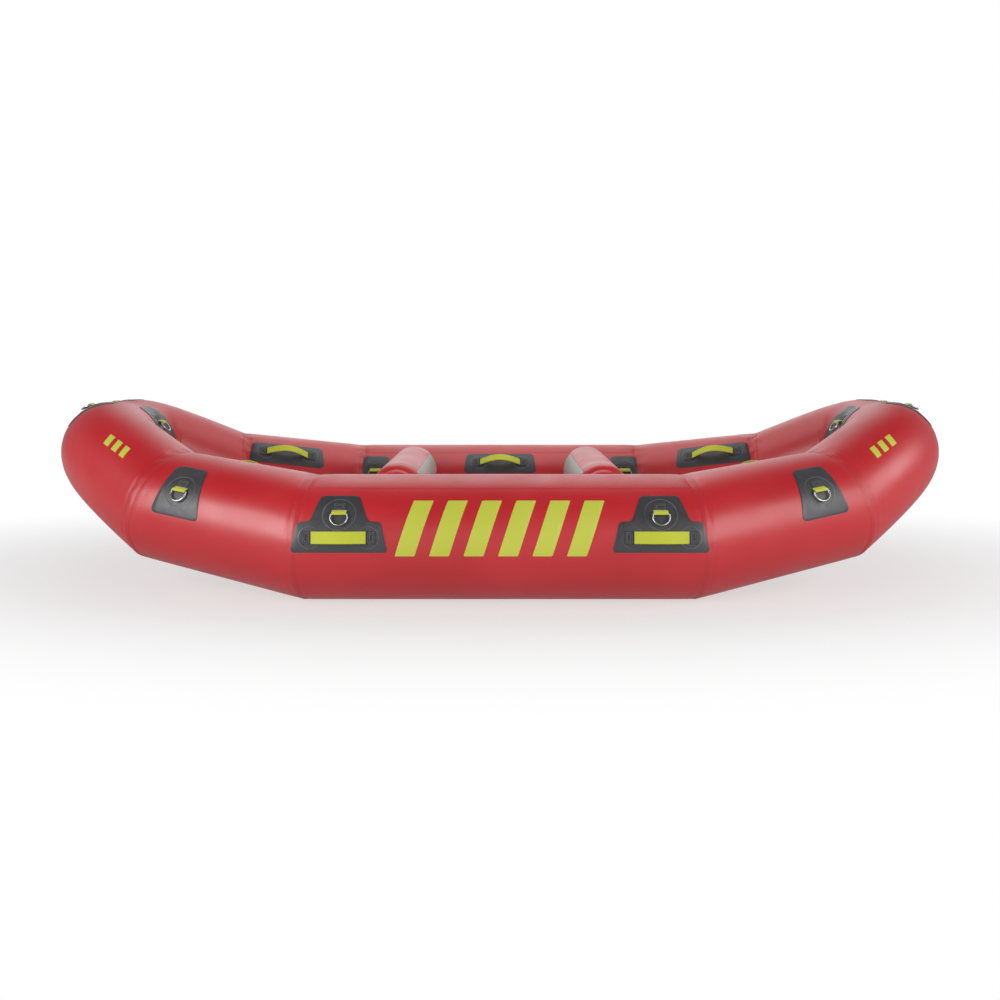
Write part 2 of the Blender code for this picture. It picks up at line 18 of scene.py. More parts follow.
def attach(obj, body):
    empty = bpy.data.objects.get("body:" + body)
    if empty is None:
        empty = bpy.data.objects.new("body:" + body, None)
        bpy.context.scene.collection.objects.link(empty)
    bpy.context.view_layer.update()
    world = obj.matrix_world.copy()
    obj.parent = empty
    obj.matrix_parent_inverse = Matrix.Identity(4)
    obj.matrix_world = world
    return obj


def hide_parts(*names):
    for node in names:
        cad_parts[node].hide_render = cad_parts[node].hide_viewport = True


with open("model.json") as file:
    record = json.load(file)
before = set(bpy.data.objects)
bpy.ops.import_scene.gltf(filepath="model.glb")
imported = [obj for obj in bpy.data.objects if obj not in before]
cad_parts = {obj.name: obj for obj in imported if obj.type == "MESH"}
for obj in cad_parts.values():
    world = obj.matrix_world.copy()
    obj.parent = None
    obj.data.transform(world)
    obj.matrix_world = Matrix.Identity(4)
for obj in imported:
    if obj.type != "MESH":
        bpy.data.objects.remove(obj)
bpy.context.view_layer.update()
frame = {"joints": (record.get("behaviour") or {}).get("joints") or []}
bpy.ops.object.select_all(action="DESELECT")

# %% [markdown]
# ## Where the photographer stood
#
# The camera looks at the raft from the side, a little above the tubes and slightly down. Its
# place and its lens were solved from the raft's outline, so pieces land where the photo has them.

# %% Camera
CAMERA_PLACE = (0.0, -4.5548, 0.9733)
CAMERA_DOWN = 8.34          # degrees below level
CAMERA_LENS = 34.76         # mm, on a sensor 36 mm wide

bpy.ops.object.camera_add(location=CAMERA_PLACE, rotation=(radians(90 - CAMERA_DOWN), 0, 0))
camera = bpy.context.object
camera.data.lens = CAMERA_LENS
camera.data.sensor_width = 36
bpy.context.scene.camera = camera
print("camera", CAMERA_PLACE, "looking", CAMERA_DOWN, "degrees down")

# %% [markdown]
# ## Studio
#
# The photograph is a studio picture on white. The bright wall behind the raft and a wide soft light
# low over the cockpit give the tubes' tops and their inner sides a pale sheen, and an upright soft
# light on each side shows as a streak along each quarter. What faces the camera mirrors a dim room,
# so its red stays deep. A plain white world would be simpler, but it mirrors in every part of the
# gloss and washes the red out. So the camera sees the walls and the floor as white, and the raft is
# lit by dimmer ones.

# %% Soft lights
WHITE = (1.0, 1.0, 1.0, 1.0)
ROOM_SEEN = 1.0             # how bright the camera sees the walls


def soft_light(name, place, aim, width, height, power):
    """Area light at a place, turned to its aim, that the camera doesn't see itself."""
    bpy.ops.object.light_add(type="AREA", location=place)
    lamp = bpy.context.object
    lamp.name = name
    lamp.data.shape = "RECTANGLE"
    lamp.data.size = width
    lamp.data.size_y = height
    lamp.data.energy = power
    lamp.visible_camera = False
    lamp.rotation_euler = (Vector(aim) - Vector(place)).to_track_quat("-Z", "Y").to_euler()
    return lamp


print("the camera sees the walls at", ROOM_SEEN)

# %% Node helpers


class Graph:
    """Nodes of a material or a world, and the few moves that all of them share."""

    def __init__(self, owner):
        owner.use_nodes = True
        self.tree = owner.node_tree

    def node(self, kind, **values):
        """New node; keyword values go to its inputs, with underscores for spaces."""
        node = self.tree.nodes.new("ShaderNode" + kind)
        for key, value in values.items():
            node.inputs[key.replace("_", " ")].default_value = value
        return node

    def link(self, start, end):
        """Join an output to an input."""
        self.tree.links.new(start, end)

    def combined(self, operation, first, second):
        """Two numbers put together: added, multiplied, or the greater of the two."""
        node = self.node("Math")
        node.operation = operation
        self.link(first, node.inputs[0])
        self.link(second, node.inputs[1])
        return node.outputs["Value"]

    def eased(self, value, start, end, low, high):
        """Smooth step of a number from low at start to high at end."""
        step = self.node("MapRange", From_Min=start, From_Max=end, To_Min=low, To_Max=high)
        step.interpolation_type = "SMOOTHSTEP"
        self.link(value, step.inputs["Value"])
        return step.outputs["Result"]

    def seen_or_given(self, seen, given):
        """A number that is one thing to the camera and another to the light that falls on the raft."""
        choice = self.node("MapRange", To_Max=seen)
        if isinstance(given, float):
            choice.inputs["To Min"].default_value = given
        else:
            self.link(given, choice.inputs["To Min"])
        self.link(self.node("LightPath").outputs["Is Camera Ray"], choice.inputs["Value"])
        return choice.outputs["Result"]


print("a graph's moves:", ", ".join(name for name in vars(Graph) if not name.startswith("_")))

# %% Floor
FLOOR_SIZE = 120
FLOOR_SEEN = 0.98
FLOOR_GIVES = 0.50
FLOOR_UNEVEN = 0.01         # lighter or darker, here and there
FLOOR_CLOUD_SCALE = 0.5
POOL_STRETCH = 2.0          # the shaded floor round the raft is this many times longer than wide
POOL_INNER = 0.9            # m across the raft from its middle, where it starts to fade to white
POOL_OUTER = 2.1
SHADOW_GLOW = 0.58          # share of white that is left under the raft


def finish_floor():
    """Pale painted floor, faintly uneven, that fades to the white of the wall."""
    material = bpy.data.materials.new("pale_floor")
    graph = Graph(material)
    nodes = graph.tree.nodes
    nodes.remove(nodes["Principled BSDF"])
    place = graph.node("TexCoord").outputs["Object"]
    noise = graph.node("TexNoise", Scale=FLOOR_CLOUD_SCALE)
    graph.link(place, noise.inputs["Vector"])
    uneven = graph.node("MapRange", To_Min=1 - FLOOR_UNEVEN, To_Max=1 + FLOOR_UNEVEN)
    graph.link(noise.outputs["Fac"], uneven.inputs["Value"])
    seen = graph.seen_or_given(FLOOR_SEEN, FLOOR_GIVES)
    paint = graph.node("BsdfDiffuse")
    graph.link(graph.combined("MULTIPLY", uneven.outputs["Result"], seen), paint.inputs["Color"])
    glow = graph.node("Emission", Color=WHITE)
    graph.link(graph.seen_or_given(ROOM_SEEN, FLOOR_GIVES), glow.inputs["Strength"])
    pool = graph.node("Mapping", Scale=(1 / POOL_STRETCH, 1, 1))
    graph.link(place, pool.inputs["Vector"])
    distance = graph.node("VectorMath")
    distance.operation = "LENGTH"
    graph.link(pool.outputs["Vector"], distance.inputs[0])
    fade = graph.eased(distance.outputs["Value"], POOL_INNER, POOL_OUTER, SHADOW_GLOW, 1)
    blend = graph.node("MixShader")
    graph.link(fade, blend.inputs["Fac"])
    graph.link(paint.outputs["BSDF"], blend.inputs[1])
    graph.link(glow.outputs["Emission"], blend.inputs[2])
    graph.link(blend.outputs["Shader"], nodes["Material Output"].inputs["Surface"])
    return material


bpy.ops.mesh.primitive_plane_add(size=FLOOR_SIZE)
studio_floor = bpy.context.object
studio_floor.name = "studio_floor"
studio_floor.data.materials.append(finish_floor())
print("floor", FLOOR_SIZE, "m across, white from", POOL_OUTER, "m beside the raft")

# %% Walls
FRONT_GIVES = 0.37
BACK_GIVES = 1.25
CEILING_SHARE = 0.30        # of the walls' light, overhead
BACK_FROM = (0.10, 0.50)    # how far a look points back where the bright wall fades in
BACK_SIDES = (0.15, 0.50)   # how far it points aside where that wall fades out
BACK_TOP = (0.65, 0.95)     # and how far up
CEILING_FROM = (0.30, 0.90)


def finish_walls():
    """World that is white to the camera, but to the raft dim in front and bright behind."""
    world = bpy.data.worlds.new("studio")
    graph = Graph(world)
    walls = graph.tree.nodes["Background"]
    walls.inputs["Color"].default_value = WHITE
    toward = graph.node("SeparateXYZ")
    graph.link(graph.node("TexCoord").outputs["Generated"], toward.inputs["Vector"])
    aside = graph.node("Math")
    aside.operation = "ABSOLUTE"
    graph.link(toward.outputs["X"], aside.inputs[0])
    behind = graph.eased(toward.outputs["Y"], *BACK_FROM, 0, BACK_GIVES - FRONT_GIVES)
    narrow = graph.eased(aside.outputs["Value"], *BACK_SIDES, 1, 0)
    low = graph.eased(toward.outputs["Z"], *BACK_TOP, 1, 0)
    back = graph.combined("MULTIPLY", graph.combined("MULTIPLY", behind, narrow), low)
    overhead = FRONT_GIVES * CEILING_SHARE
    room = graph.eased(toward.outputs["Z"], *CEILING_FROM, FRONT_GIVES, overhead)
    given = graph.combined("ADD", back, room)
    graph.link(graph.seen_or_given(ROOM_SEEN, given), walls.inputs["Strength"])
    return world


bpy.context.scene.world = finish_walls()
bpy.context.scene.view_settings.view_transform = "Standard"
print("walls give", FRONT_GIVES, "in front and", BACK_GIVES, "behind")

# %% Lamps
soft_light("top_light", place=(0, 0.95, 2.5), aim=(0, 0.95, 0), width=2.6, height=1.9, power=15)
soft_light("end_light", place=(5.2, -1.4, 2.1), aim=(1.7, -0.4, 0.5), width=1.2, height=1.6, power=28)
for side, power in ((-1, 70), (1, 44)):
    soft_light(f"side_light_{side}", place=(3.9 * side, -3.6, 1.9), aim=(1.1 * side, -0.5, 0.4),
               width=1.9, height=2.5, power=power)
    soft_light(f"fill_light_{side}", place=(3.1 * side, -5.6, 1.4), aim=(0, -0.9, 0.3),
               width=1.2, height=1.5, power=34)

# %% [markdown]
# ## The line of the tube
#
# One tube runs round the raft. Along its centre the middle is straight, the quarter rises and
# turns in, and a smooth curve closes the bow. Only this quarter is described; the others mirror it.
# A curve object with a round bevel would be quicker, but it can't give each panel a slanted seam,
# so the line is kept as a function that every later piece can ask.
#
# `s` is the distance along the centre from amidships, `angle` the turn round the tube: 0 faces
# out, 90 is up and 180 faces into the raft.

# %% Centre line
INCH = 0.0254
TUBE_R = 10 * INCH
KINK_R = 0.2388
TIP_R = 0.2017
BEAM_Y = 0.6766
KINK_X = 0.7643
KINK = Vector((KINK_X, -BEAM_Y, TUBE_R))
QUARTER_END = Vector((1.4077, -0.4835, 0.3561))
TIP = Vector((1.7709, 0.0, 0.5694))
LEAVE = Vector((0.3634, 0.2459, 0.2074))
ARRIVE = Vector((0.0, 0.2376, 0.0))
UP = Vector((0, 0, 1))
AHEAD = Vector((1, 0, 0))
RUN = (QUARTER_END - KINK).normalized()
QUARTER_S = KINK_X + (QUARTER_END - KINK).length
CURVE_STEPS = 96


def curve_at(t):
    """Centre and direction of the bow's curve."""
    a, b, c, d = QUARTER_END, QUARTER_END + LEAVE, TIP - ARRIVE, TIP
    q = 1 - t
    centre = a * q**3 + b * 3 * q * q * t + c * 3 * q * t * t + d * t**3
    along = (b - a) * q * q + (c - b) * 2 * q * t + (d - c) * t * t
    return centre, along.normalized()


CURVE_S = [QUARTER_S]
for step in range(CURVE_STEPS):
    here, after = curve_at(step / CURVE_STEPS)[0], curve_at((step + 1) / CURVE_STEPS)[0]
    CURVE_S.append(CURVE_S[-1] + (after - here).length)
TIP_S = CURVE_S[-1]
print("half the ring's centre line:", round(TIP_S, 3), "m")

# %% [markdown]
# Two ways of reaching the wall are needed. A patch is glued square to its own run, so `on_tube`
# measures square to the centre line. A panel ends at slanted seams, so `on_skin` spreads its
# length between them. Both sink a little at the seams, where the fabric is gathered into puckers.

# %% Centre, direction and radius


def spine(s, home=None):
    """Centre, direction and radius of the tube at s, from amidships to the tip and past it.

    What is glued to one straight run gives its middle as home, and keeps to that run's own line.
    """
    home = s if home is None else home
    if s > TIP_S:
        centre, along, radius = spine(2 * TIP_S - s, 2 * TIP_S - home)
        return Vector((centre.x, -centre.y, centre.z)), Vector((-along.x, along.y, -along.z)), radius
    if home < 0:
        centre, along, radius = spine(-s, -home)
        return Vector((-centre.x, centre.y, centre.z)), Vector((along.x, -along.y, -along.z)), radius
    if home <= KINK_X:
        return Vector((s, -BEAM_Y, TUBE_R)), AHEAD, TUBE_R
    if home <= QUARTER_S:
        f = (s - KINK_X) / (QUARTER_S - KINK_X)
        return KINK + (QUARTER_END - KINK) * f, RUN, TUBE_R + (KINK_R - TUBE_R) * f
    i = min(bisect_right(CURVE_S, s) - 1, CURVE_STEPS - 1)
    t = (i + (s - CURVE_S[i]) / (CURVE_S[i + 1] - CURVE_S[i])) / CURVE_STEPS
    centre, along = curve_at(t)
    return centre, along, KINK_R + (TIP_R - KINK_R) * t


def spoke(along, angle):
    """Direction from the centre line to the wall at an angle."""
    side = along.cross(UP).normalized()
    return side * cos(radians(angle)) + side.cross(along) * sin(radians(angle))


print("radius at the tip:", round(spine(TIP_S)[2], 3), "m")

# %% Seams and what gathers beside them
PINCH_DEPTH = 0.0014
PINCH_WIDTH = 0.012
PUCKER_DEPTH = 0.0035
PUCKER_LENGTH = 0.038
PUCKERS_AROUND = 22
PUCKER_WANDER = 40          # degrees of a pucker's wave by which it drifts, three times round
PUCKER_OUTSIDE = 0.18       # share of the depth that is left on the outside of a bend
FOLD_DEPTH = 0.0016         # soft folds that run beside each seam
FOLD_PITCH = 0.034
FOLD_REACH = 0.042
BENDS = ((KINK_X, AHEAD, RUN), (QUARTER_S, RUN, LEAVE.normalized()))


def slide(bend, along, angle, radius):
    """How far a ring's point slides along its run to lie on the slanted seam of a bend."""
    _, before, after = BENDS[bend]
    cut = before + after
    arm = spoke(along, angle) * radius
    return -arm.dot(cut) / along.dot(cut)


def gathers(bend, distance, angle):
    """Depth of the pinch, the puckers and the folds at a distance from a seam."""
    _, before, after = BENDS[bend]
    inside = max(0.0, spoke(before, angle).dot((after - before).normalized()))
    share = PUCKER_OUTSIDE + (1 - PUCKER_OUTSIDE) * inside
    wave = 0.5 + 0.5 * cos(radians(PUCKERS_AROUND * angle + PUCKER_WANDER * sin(radians(3 * angle))))
    pucker = PUCKER_DEPTH * share * wave * exp(-(distance / PUCKER_LENGTH) ** 2)
    fold = FOLD_DEPTH * sin(pi * distance / FOLD_PITCH) ** 2 * exp(-(distance / FOLD_REACH) ** 2)
    return PINCH_DEPTH * exp(-(distance / PINCH_WIDTH) ** 2) + pucker + fold


print("a seam's puckers are", 1000 * PUCKER_DEPTH, "mm deep, its folds", 1000 * FOLD_DEPTH, "mm")

# %% Onto the wall
SEAM_FADE = 0.16            # over which the bow's rings turn square again after the seam
GATHER_REACH = 0.2
STRETCH_SPAN = 0.06


def on_tube(s, angle, lift=0.0, home=None):
    """Point over the wall, s being measured square to the centre line."""
    centre, along, radius = spine(s, home)
    depth = 0.0
    for bend, (seam_s, _, _) in enumerate(BENDS):
        place = abs(s) - seam_s
        if abs(place) < GATHER_REACH:
            depth += gathers(bend, place - slide(bend, along, angle, radius), angle)
    return centre + spoke(along, angle) * (radius + lift - depth)


def stretch_at(s, angle):
    """Length of wall for each metre of centre line: over 1 on the outside of a curve."""
    reach = on_tube(s + STRETCH_SPAN / 2, angle, 0, s) - on_tube(s - STRETCH_SPAN / 2, angle, 0, s)
    return reach.length / STRETCH_SPAN


def on_skin(s, angle, lift=0.0):
    """Point over a panel of the starboard bow, spread between the slanted seams at its ends."""
    mirrored = s < 0
    s = abs(s)
    centre, along, radius = spine(s)
    if s <= KINK_X:
        shift = slide(0, AHEAD, angle, TUBE_R) * s / KINK_X
        distance, bend = KINK_X - s, 0
    elif s <= QUARTER_S:
        f = (s - KINK_X) / (QUARTER_S - KINK_X)
        shift = slide(0, RUN, angle, TUBE_R) * (1 - f) + slide(1, RUN, angle, KINK_R) * f
        distance, bend = (s - KINK_X, 0) if f < 0.5 else (QUARTER_S - s, 1)
    else:
        f = min(1.0, (s - QUARTER_S) / SEAM_FADE)
        shift = slide(1, BENDS[1][2], angle, KINK_R) * (1 - f) ** 2 * (1 + 2 * f)
        distance, bend = s - QUARTER_S, 1
    depth = gathers(bend, distance, angle)
    point = centre + along * shift + spoke(along, angle) * (radius + lift - depth)
    return Vector((-point.x, point.y, point.z)) if mirrored else point


print("wall on top amidships, m:", [round(c, 3) for c in on_skin(0, 90)])

# %% [markdown]
# ## Materials
#
# Every finish reads either the piece's own flat cut (its UV map, in metres) for threads, or
# Object coordinates for tone and grain, so nothing slides when the camera or a ring moves.
# A small class adds to the graph what all finishes share: tones along a noise, a roughness that
# wanders with another, and bumps stacked under the normal.

# %% What all finishes share
WAVES_A_METRE = 0.31416     # scale at which a wave texture repeats once a metre


class Finish(Graph):
    """A material and the node moves that all finishes share."""

    def __init__(self, name, roughness, metallic=0.0, specular=0.5, sheen=0.0):
        self.material = bpy.data.materials.new(name)
        super().__init__(self.material)
        self.shader = self.tree.nodes["Principled BSDF"]
        self.shader.inputs["Roughness"].default_value = roughness
        self.shader.inputs["Metallic"].default_value = metallic
        self.shader.inputs["Specular IOR Level"].default_value = specular
        self.shader.inputs["Sheen Weight"].default_value = sheen
        self.place = self.node("TexCoord")
        self.bump = None

    def noise(self, scale, detail=3.0):
        """Cloudy number on Object coordinates; a higher scale makes smaller clouds."""
        noise = self.node("TexNoise", Scale=scale, Detail=detail)
        self.link(self.place.outputs["Object"], noise.inputs["Vector"])
        return noise.outputs["Fac"]

    def tones(self, factor, stops):
        """Colours along a factor; stops are (position, colour) pairs."""
        ramp = self.node("ValToRGB")
        elements = ramp.color_ramp.elements
        while len(elements) < len(stops):
            elements.new(0.5)
        for element, (position, colour) in zip(elements, stops):
            element.position = position
            element.color = (*colour, 1)
        self.link(factor, ramp.inputs["Fac"])
        self.link(ramp.outputs["Color"], self.shader.inputs["Base Color"])

    def roughen(self, factor, low, high):
        """Roughness from low to high over the factor's 0.3 to 0.7, where noise mostly lies."""
        span = self.node("MapRange", From_Min=0.3, From_Max=0.7, To_Min=low, To_Max=high)
        self.link(factor, span.inputs["Value"])
        self.link(span.outputs["Result"], self.shader.inputs["Roughness"])

    def raise_by(self, height, distance, strength=1.0):
        """Stack one more bump under the shader's normal."""
        bump = self.node("Bump", Strength=strength, Distance=distance)
        self.link(height, bump.inputs["Height"])
        if self.bump:
            self.link(self.bump.outputs["Normal"], bump.inputs["Normal"])
        self.link(bump.outputs["Normal"], self.shader.inputs["Normal"])
        self.bump = bump

    def threads(self, pitch_along, pitch_across):
        """Height of crossing threads on the piece's own flat cut."""
        waves = []
        for axis, pitch in (("X", pitch_along), ("Y", pitch_across)):
            wave = self.node("TexWave", Scale=WAVES_A_METRE / pitch)
            wave.bands_direction = axis
            self.link(self.place.outputs["UV"], wave.inputs["Vector"])
            waves.append(wave.outputs["Fac"])
        return self.combined("MAXIMUM", *waves)


print("a 2 mm thread's wave has scale", round(WAVES_A_METRE / 0.002))

# %% Kinds of finish


def coated_fabric(name, dark, light, roughness, gloss=0.5):
    """Woven base under a calendered coat: soft gloss, faint threads, slow changes of tone."""
    finish = Finish(name, roughness, specular=gloss)
    finish.tones(finish.noise(1.8, 4.0), [(0.35, dark), (0.65, light)])
    finish.roughen(finish.noise(7.0), roughness - 0.05, roughness + 0.06)
    finish.raise_by(finish.threads(0.0016, 0.0016), 0.00006, 0.20)
    finish.raise_by(finish.noise(14.0, 2.0), 0.0006, 0.25)
    return finish.material


def moulded_rubber(name, dark, light):
    """Satin rubber of the patches with a fine leathery grain and a dusty bloom."""
    finish = Finish(name, 0.38, specular=0.9, sheen=0.1)
    finish.tones(finish.noise(9.0, 5.0), [(0.3, dark), (0.7, light)])
    finish.roughen(finish.noise(30.0), 0.32, 0.46)
    finish.raise_by(finish.noise(700.0, 2.0), 0.0001, 0.3)
    return finish.material


def webbing(name, dark, light):
    """Woven strap: ribs across it, threads along it, and painted shade in its grooves."""
    finish = Finish(name, 0.55, specular=0.35, sheen=0.3)
    weave_and_groove_shade = finish.threads(0.0022, 0.0028)
    # the grooves between the ribs are painted darker: painted shade
    finish.tones(weave_and_groove_shade, [(0.0, dark), (0.8, light)])
    finish.raise_by(weave_and_groove_shade, 0.0003, 0.6)
    finish.raise_by(finish.noise(900.0, 2.0), 0.0001, 0.3)
    return finish.material


def stainless(name):
    """Bent wire, polished, with faint rub marks."""
    finish = Finish(name, 0.2, metallic=1.0)
    finish.tones(finish.noise(60.0), [(0.3, (0.52, 0.51, 0.49)), (0.7, (0.72, 0.71, 0.69))])
    finish.roughen(finish.noise(220.0), 0.12, 0.3)
    return finish.material


def moulded_plastic(name, dark, light):
    """Hard black plastic of the valves, with a fine spark-eroded grain."""
    finish = Finish(name, 0.4, specular=0.5)
    finish.tones(finish.noise(40.0), [(0.3, dark), (0.7, light)])
    finish.roughen(finish.noise(120.0), 0.32, 0.48)
    finish.raise_by(finish.noise(900.0), 0.00008, 0.4)
    return finish.material


print("five kinds of finish: coated fabric, rubber, webbing, wire and plastic")

# %% [markdown]
# The tubes' red is deep and saturated, and its gloss comes from the coat, so the specular level is
# high and the pale sheen is left to the lights. The edges of tapes and strips get a paler red, and
# a disc's rim gets a paler rubber as a painted highlight; both are finishes of their own, not lines in
# a texture.

# %% The finishes
RED = coated_fabric("red_coated_fabric", (0.61, 0.010, 0.018), (0.70, 0.016, 0.026), 0.36, 1.0)
RED_TAPE = coated_fabric("red_tape", (0.58, 0.010, 0.018), (0.66, 0.015, 0.025), 0.40, 1.0)
# paler red for the edges of tapes, wear strips and thwart tops
PALE_EDGE = coated_fabric("pale_fabric_edge", (0.62, 0.16, 0.16), (0.70, 0.24, 0.24), 0.50)
GREY = coated_fabric("grey_coated_fabric", (0.44, 0.44, 0.40), (0.52, 0.52, 0.48), 0.42)
MARKING = coated_fabric("hi_vis_marking", (0.66, 0.70, 0.07), (0.72, 0.76, 0.10), 0.45)
CHARCOAL = moulded_rubber("charcoal_rubber", (0.036, 0.035, 0.040), (0.058, 0.055, 0.062))
# paler rubber for the discs' rims: a painted highlight where the rim catches the light
RIM_PAINTED_HIGHLIGHT = moulded_rubber("rubber_rim_painted_highlight", (0.050, 0.050, 0.054), (0.19, 0.19, 0.20))
YELLOW_WEB = webbing("yellow_webbing", (0.50, 0.55, 0.02), (0.72, 0.76, 0.05))
BLACK_WEB = webbing("black_webbing", (0.012, 0.012, 0.014), (0.045, 0.045, 0.050))
STEEL = stainless("stainless_wire")
BLACK = moulded_plastic("black_plastic", (0.015, 0.015, 0.016), (0.030, 0.030, 0.032))
THREAD = webbing("polyester_thread", (0.16, 0.16, 0.17), (0.34, 0.34, 0.36))
print(len(bpy.data.materials), "materials with those of the frame")

# %% [markdown]
# ## Working in flat fabric
#
# A sheet is drawn flat: x along the tube, y round it, z out of it, all in metres. It gets its
# thickness and its rounded edge while it is flat, then every point is laid on the tube. The flat
# cut is kept as the UV map, which is what the threads follow.

# %% Select, edit, apply


def choose(piece):
    """Make a piece the only selected one, and the active one."""
    bpy.ops.object.select_all(action="DESELECT")
    bpy.context.view_layer.objects.active = piece
    piece.select_set(True)


def start(name, material):
    """Take over the primitive that was just added."""
    piece = bpy.context.object
    piece.name = name
    piece.data.name = name
    piece.data.materials.append(material)
    return piece


def edit(piece):
    """Open a piece in edit mode, with all of it selected."""
    choose(piece)
    bpy.ops.object.mode_set(mode="EDIT")
    bpy.ops.mesh.select_all(action="SELECT")


def done():
    """Close edit mode."""
    bpy.ops.object.mode_set(mode="OBJECT")


def pick_points(piece, wanted):
    """Select the vertices of a piece in edit mode for which wanted is true."""
    bpy.ops.mesh.select_all(action="DESELECT")
    mesh = bmesh.from_edit_mesh(piece.data)
    for vert in mesh.verts:
        vert.select = wanted(vert)
    mesh.select_flush_mode()
    bmesh.update_edit_mesh(piece.data)


def pick_faces(piece, wanted):
    """Select the faces of a piece in edit mode for which wanted is true."""
    bpy.ops.mesh.select_all(action="DESELECT")
    mesh = bmesh.from_edit_mesh(piece.data)
    for face in mesh.faces:
        face.select = wanted(face)
    bmesh.update_edit_mesh(piece.data)


def apply(piece, kind, **settings):
    """Add a modifier, set it and apply it."""
    choose(piece)
    modifier = piece.modifiers.new(kind.lower(), kind)
    for key, value in settings.items():
        setattr(modifier, key, value)
    bpy.ops.object.modifier_apply(modifier=modifier.name)


def finish_shape(piece, angle=35):
    """Shade smooth, but for edges sharper than the angle."""
    choose(piece)
    bpy.ops.object.shade_smooth_by_angle(angle=radians(angle))
    piece.select_set(False)


def join(name, pieces):
    """Make one piece of several."""
    choose(pieces[0])
    for piece in pieces:
        piece.select_set(True)
    bpy.ops.object.join()
    pieces[0].name = name
    pieces[0].data.name = name
    return pieces[0]


print("modelling tools ready, in", bpy.context.mode, "mode")

# %% Slice, thicken, weld and lay a flat cut
MERGE_GAP = 0.00005         # points nearer than this are one, where a sheet's two edges meet


def cut_lines(piece, axis, low, high, spacing):
    """Bisect a flat piece into bands, so that it can bend."""
    edit(piece)
    count = int((high - low) / spacing)
    for i in range(1, count + 1):
        co, no = [0, 0, 0], [0, 0, 0]
        co[axis] = low + (high - low) * i / (count + 1)
        no[axis] = 1
        bpy.ops.mesh.select_all(action="SELECT")
        bpy.ops.mesh.bisect(plane_co=co, plane_no=no)
    done()


def keep_cut(piece):
    """Write the flat cut into the UV map, in metres."""
    layer = piece.data.uv_layers.active or piece.data.uv_layers.new(name="cut")
    for loop in piece.data.loops:
        x, y, _ = piece.data.vertices[loop.vertex_index].co
        layer.data[loop.index].uv = (x, y)


def thicken(piece, thickness, edge):
    """Give a flat piece its thickness, downwards, and round its edge."""
    apply(piece, "SOLIDIFY", thickness=thickness, offset=-1)
    apply(piece, "BEVEL", width=edge, segments=2, limit_method="ANGLE", angle_limit=radians(50))


def weld(piece):
    """Join a rolled sheet's edges where they meet, and turn every face outwards."""
    edit(piece)
    bpy.ops.mesh.remove_doubles(threshold=MERGE_GAP)
    bpy.ops.mesh.normals_make_consistent(inside=False)
    done()


def lay(piece, place):
    """Move every point of a flat piece to where place puts it, and shade it smooth."""
    for vertex in piece.data.vertices:
        vertex.co = place(*vertex.co)
    finish_shape(piece)


print("a flat cut's seams and threads are in metres")

# %% Copies and bodies
SIDES = (("starboard", 1), ("port", -1))
ENDS = (("bow", 1), ("stern", -1))
QUARTERS = [(f"{end}_{side}", x, y) for end, x in ENDS for side, y in SIDES]
BOTH_SIDES = [(side, 1, y) for side, y in SIDES]
MIDS = [(f"mid_{side}", 1, y) for side, y in SIDES]
TIPS = [(end, x, 1) for end, x in ENDS]


def copy_of(piece, name, x=1, y=1, matrix=None):
    """Copy with its own mesh, mirrored across the raft or moved by a matrix."""
    mesh = piece.data.copy()
    mesh.name = name
    mesh.transform(matrix if matrix else Matrix.Diagonal((x, y, 1, 1)))
    if x * y < 0:
        mesh.flip_normals()
    twin = bpy.data.objects.new(name, mesh)
    bpy.context.scene.collection.objects.link(twin)
    return twin


def ride(piece, body="raft", stands_for=()):
    """Tell the frame which body a piece moves with and what it stands for."""
    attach(piece, body)
    if stands_for:
        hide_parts(*stands_for)


def spread(piece, kind, places, node_kind):
    """Copies of a piece at each of its places, mirrored from the first; the piece itself goes."""
    for place_name, x, y in places:
        twin = copy_of(piece, f"{kind}_{place_name}", x, y)
        ride(twin, "raft", [f"{node_kind}_{place_name}"] if node_kind else ())
    bpy.data.objects.remove(piece)


print("places that repeat:", ", ".join(name for name, _, _ in QUARTERS + MIDS + TIPS))

# %% [markdown]
# ## Tube panels
#
# Each panel of the real tube is one flat sheet, rolled up and glued along a line under the raft.
# Here it is a grid, with its rows close together at the ends where the puckers are. The rolled
# edge is merged, so that the wall is closed. A cylinder would need the same bending, but it has no
# flat cut for the threads to follow.

# %% Roll the panels
AROUND = 176
GLUE_LINE = 232             # angle at which the sheet's two edges meet


def panel(name, low, high, rows, mirror_about=None):
    """Tube wall between two places on the centre line."""
    bpy.ops.mesh.primitive_grid_add(x_subdivisions=rows, y_subdivisions=AROUND, size=1)
    piece = start(name, RED)
    flat_width = 2 * pi * TUBE_R
    for vertex in piece.data.vertices:
        share = 0.5 + 0.5 * sin(pi * vertex.co.x)
        vertex.co.x = low + (high - low) * share
        vertex.co.y = (vertex.co.y + 0.5) * flat_width
    keep_cut(piece)

    def place(x, y, z):
        angle = GLUE_LINE + 360 * y / flat_width
        if mirror_about and x > mirror_about:
            point = on_skin(2 * mirror_about - x, angle, z)
            return Vector((point.x, -point.y, point.z))
        return on_skin(x, angle, z)

    for vertex in piece.data.vertices:
        vertex.co = place(*vertex.co)
    weld(piece)
    finish_shape(piece, 60)
    return piece


middle = panel("middle", -KINK_X, KINK_X, 84)
quarter = panel("quarter", KINK_X, QUARTER_S, 56)
end_panel = panel("end", QUARTER_S, 2 * TIP_S - QUARTER_S, 128, mirror_about=TIP_S)
print("panels with", [len(piece.data.polygons) for piece in (middle, quarter, end_panel)], "faces")
spread(middle, "skin", MIDS, "tube")
spread(quarter, "skin_quarter", QUARTERS, "tube_quarter")
spread(end_panel, "skin_end", TIPS, "tube_end")

# %% [markdown]
# ## Seam tapes and wear strips
#
# A narrow tape of the same red fabric covers every seam, and a wide strip protects the top of each
# side tube, where people sit and frames rest. They could be drawn in the panels' material, but a
# tape's thickness catches the light along its edge, so both are thin sheets laid over the panels.

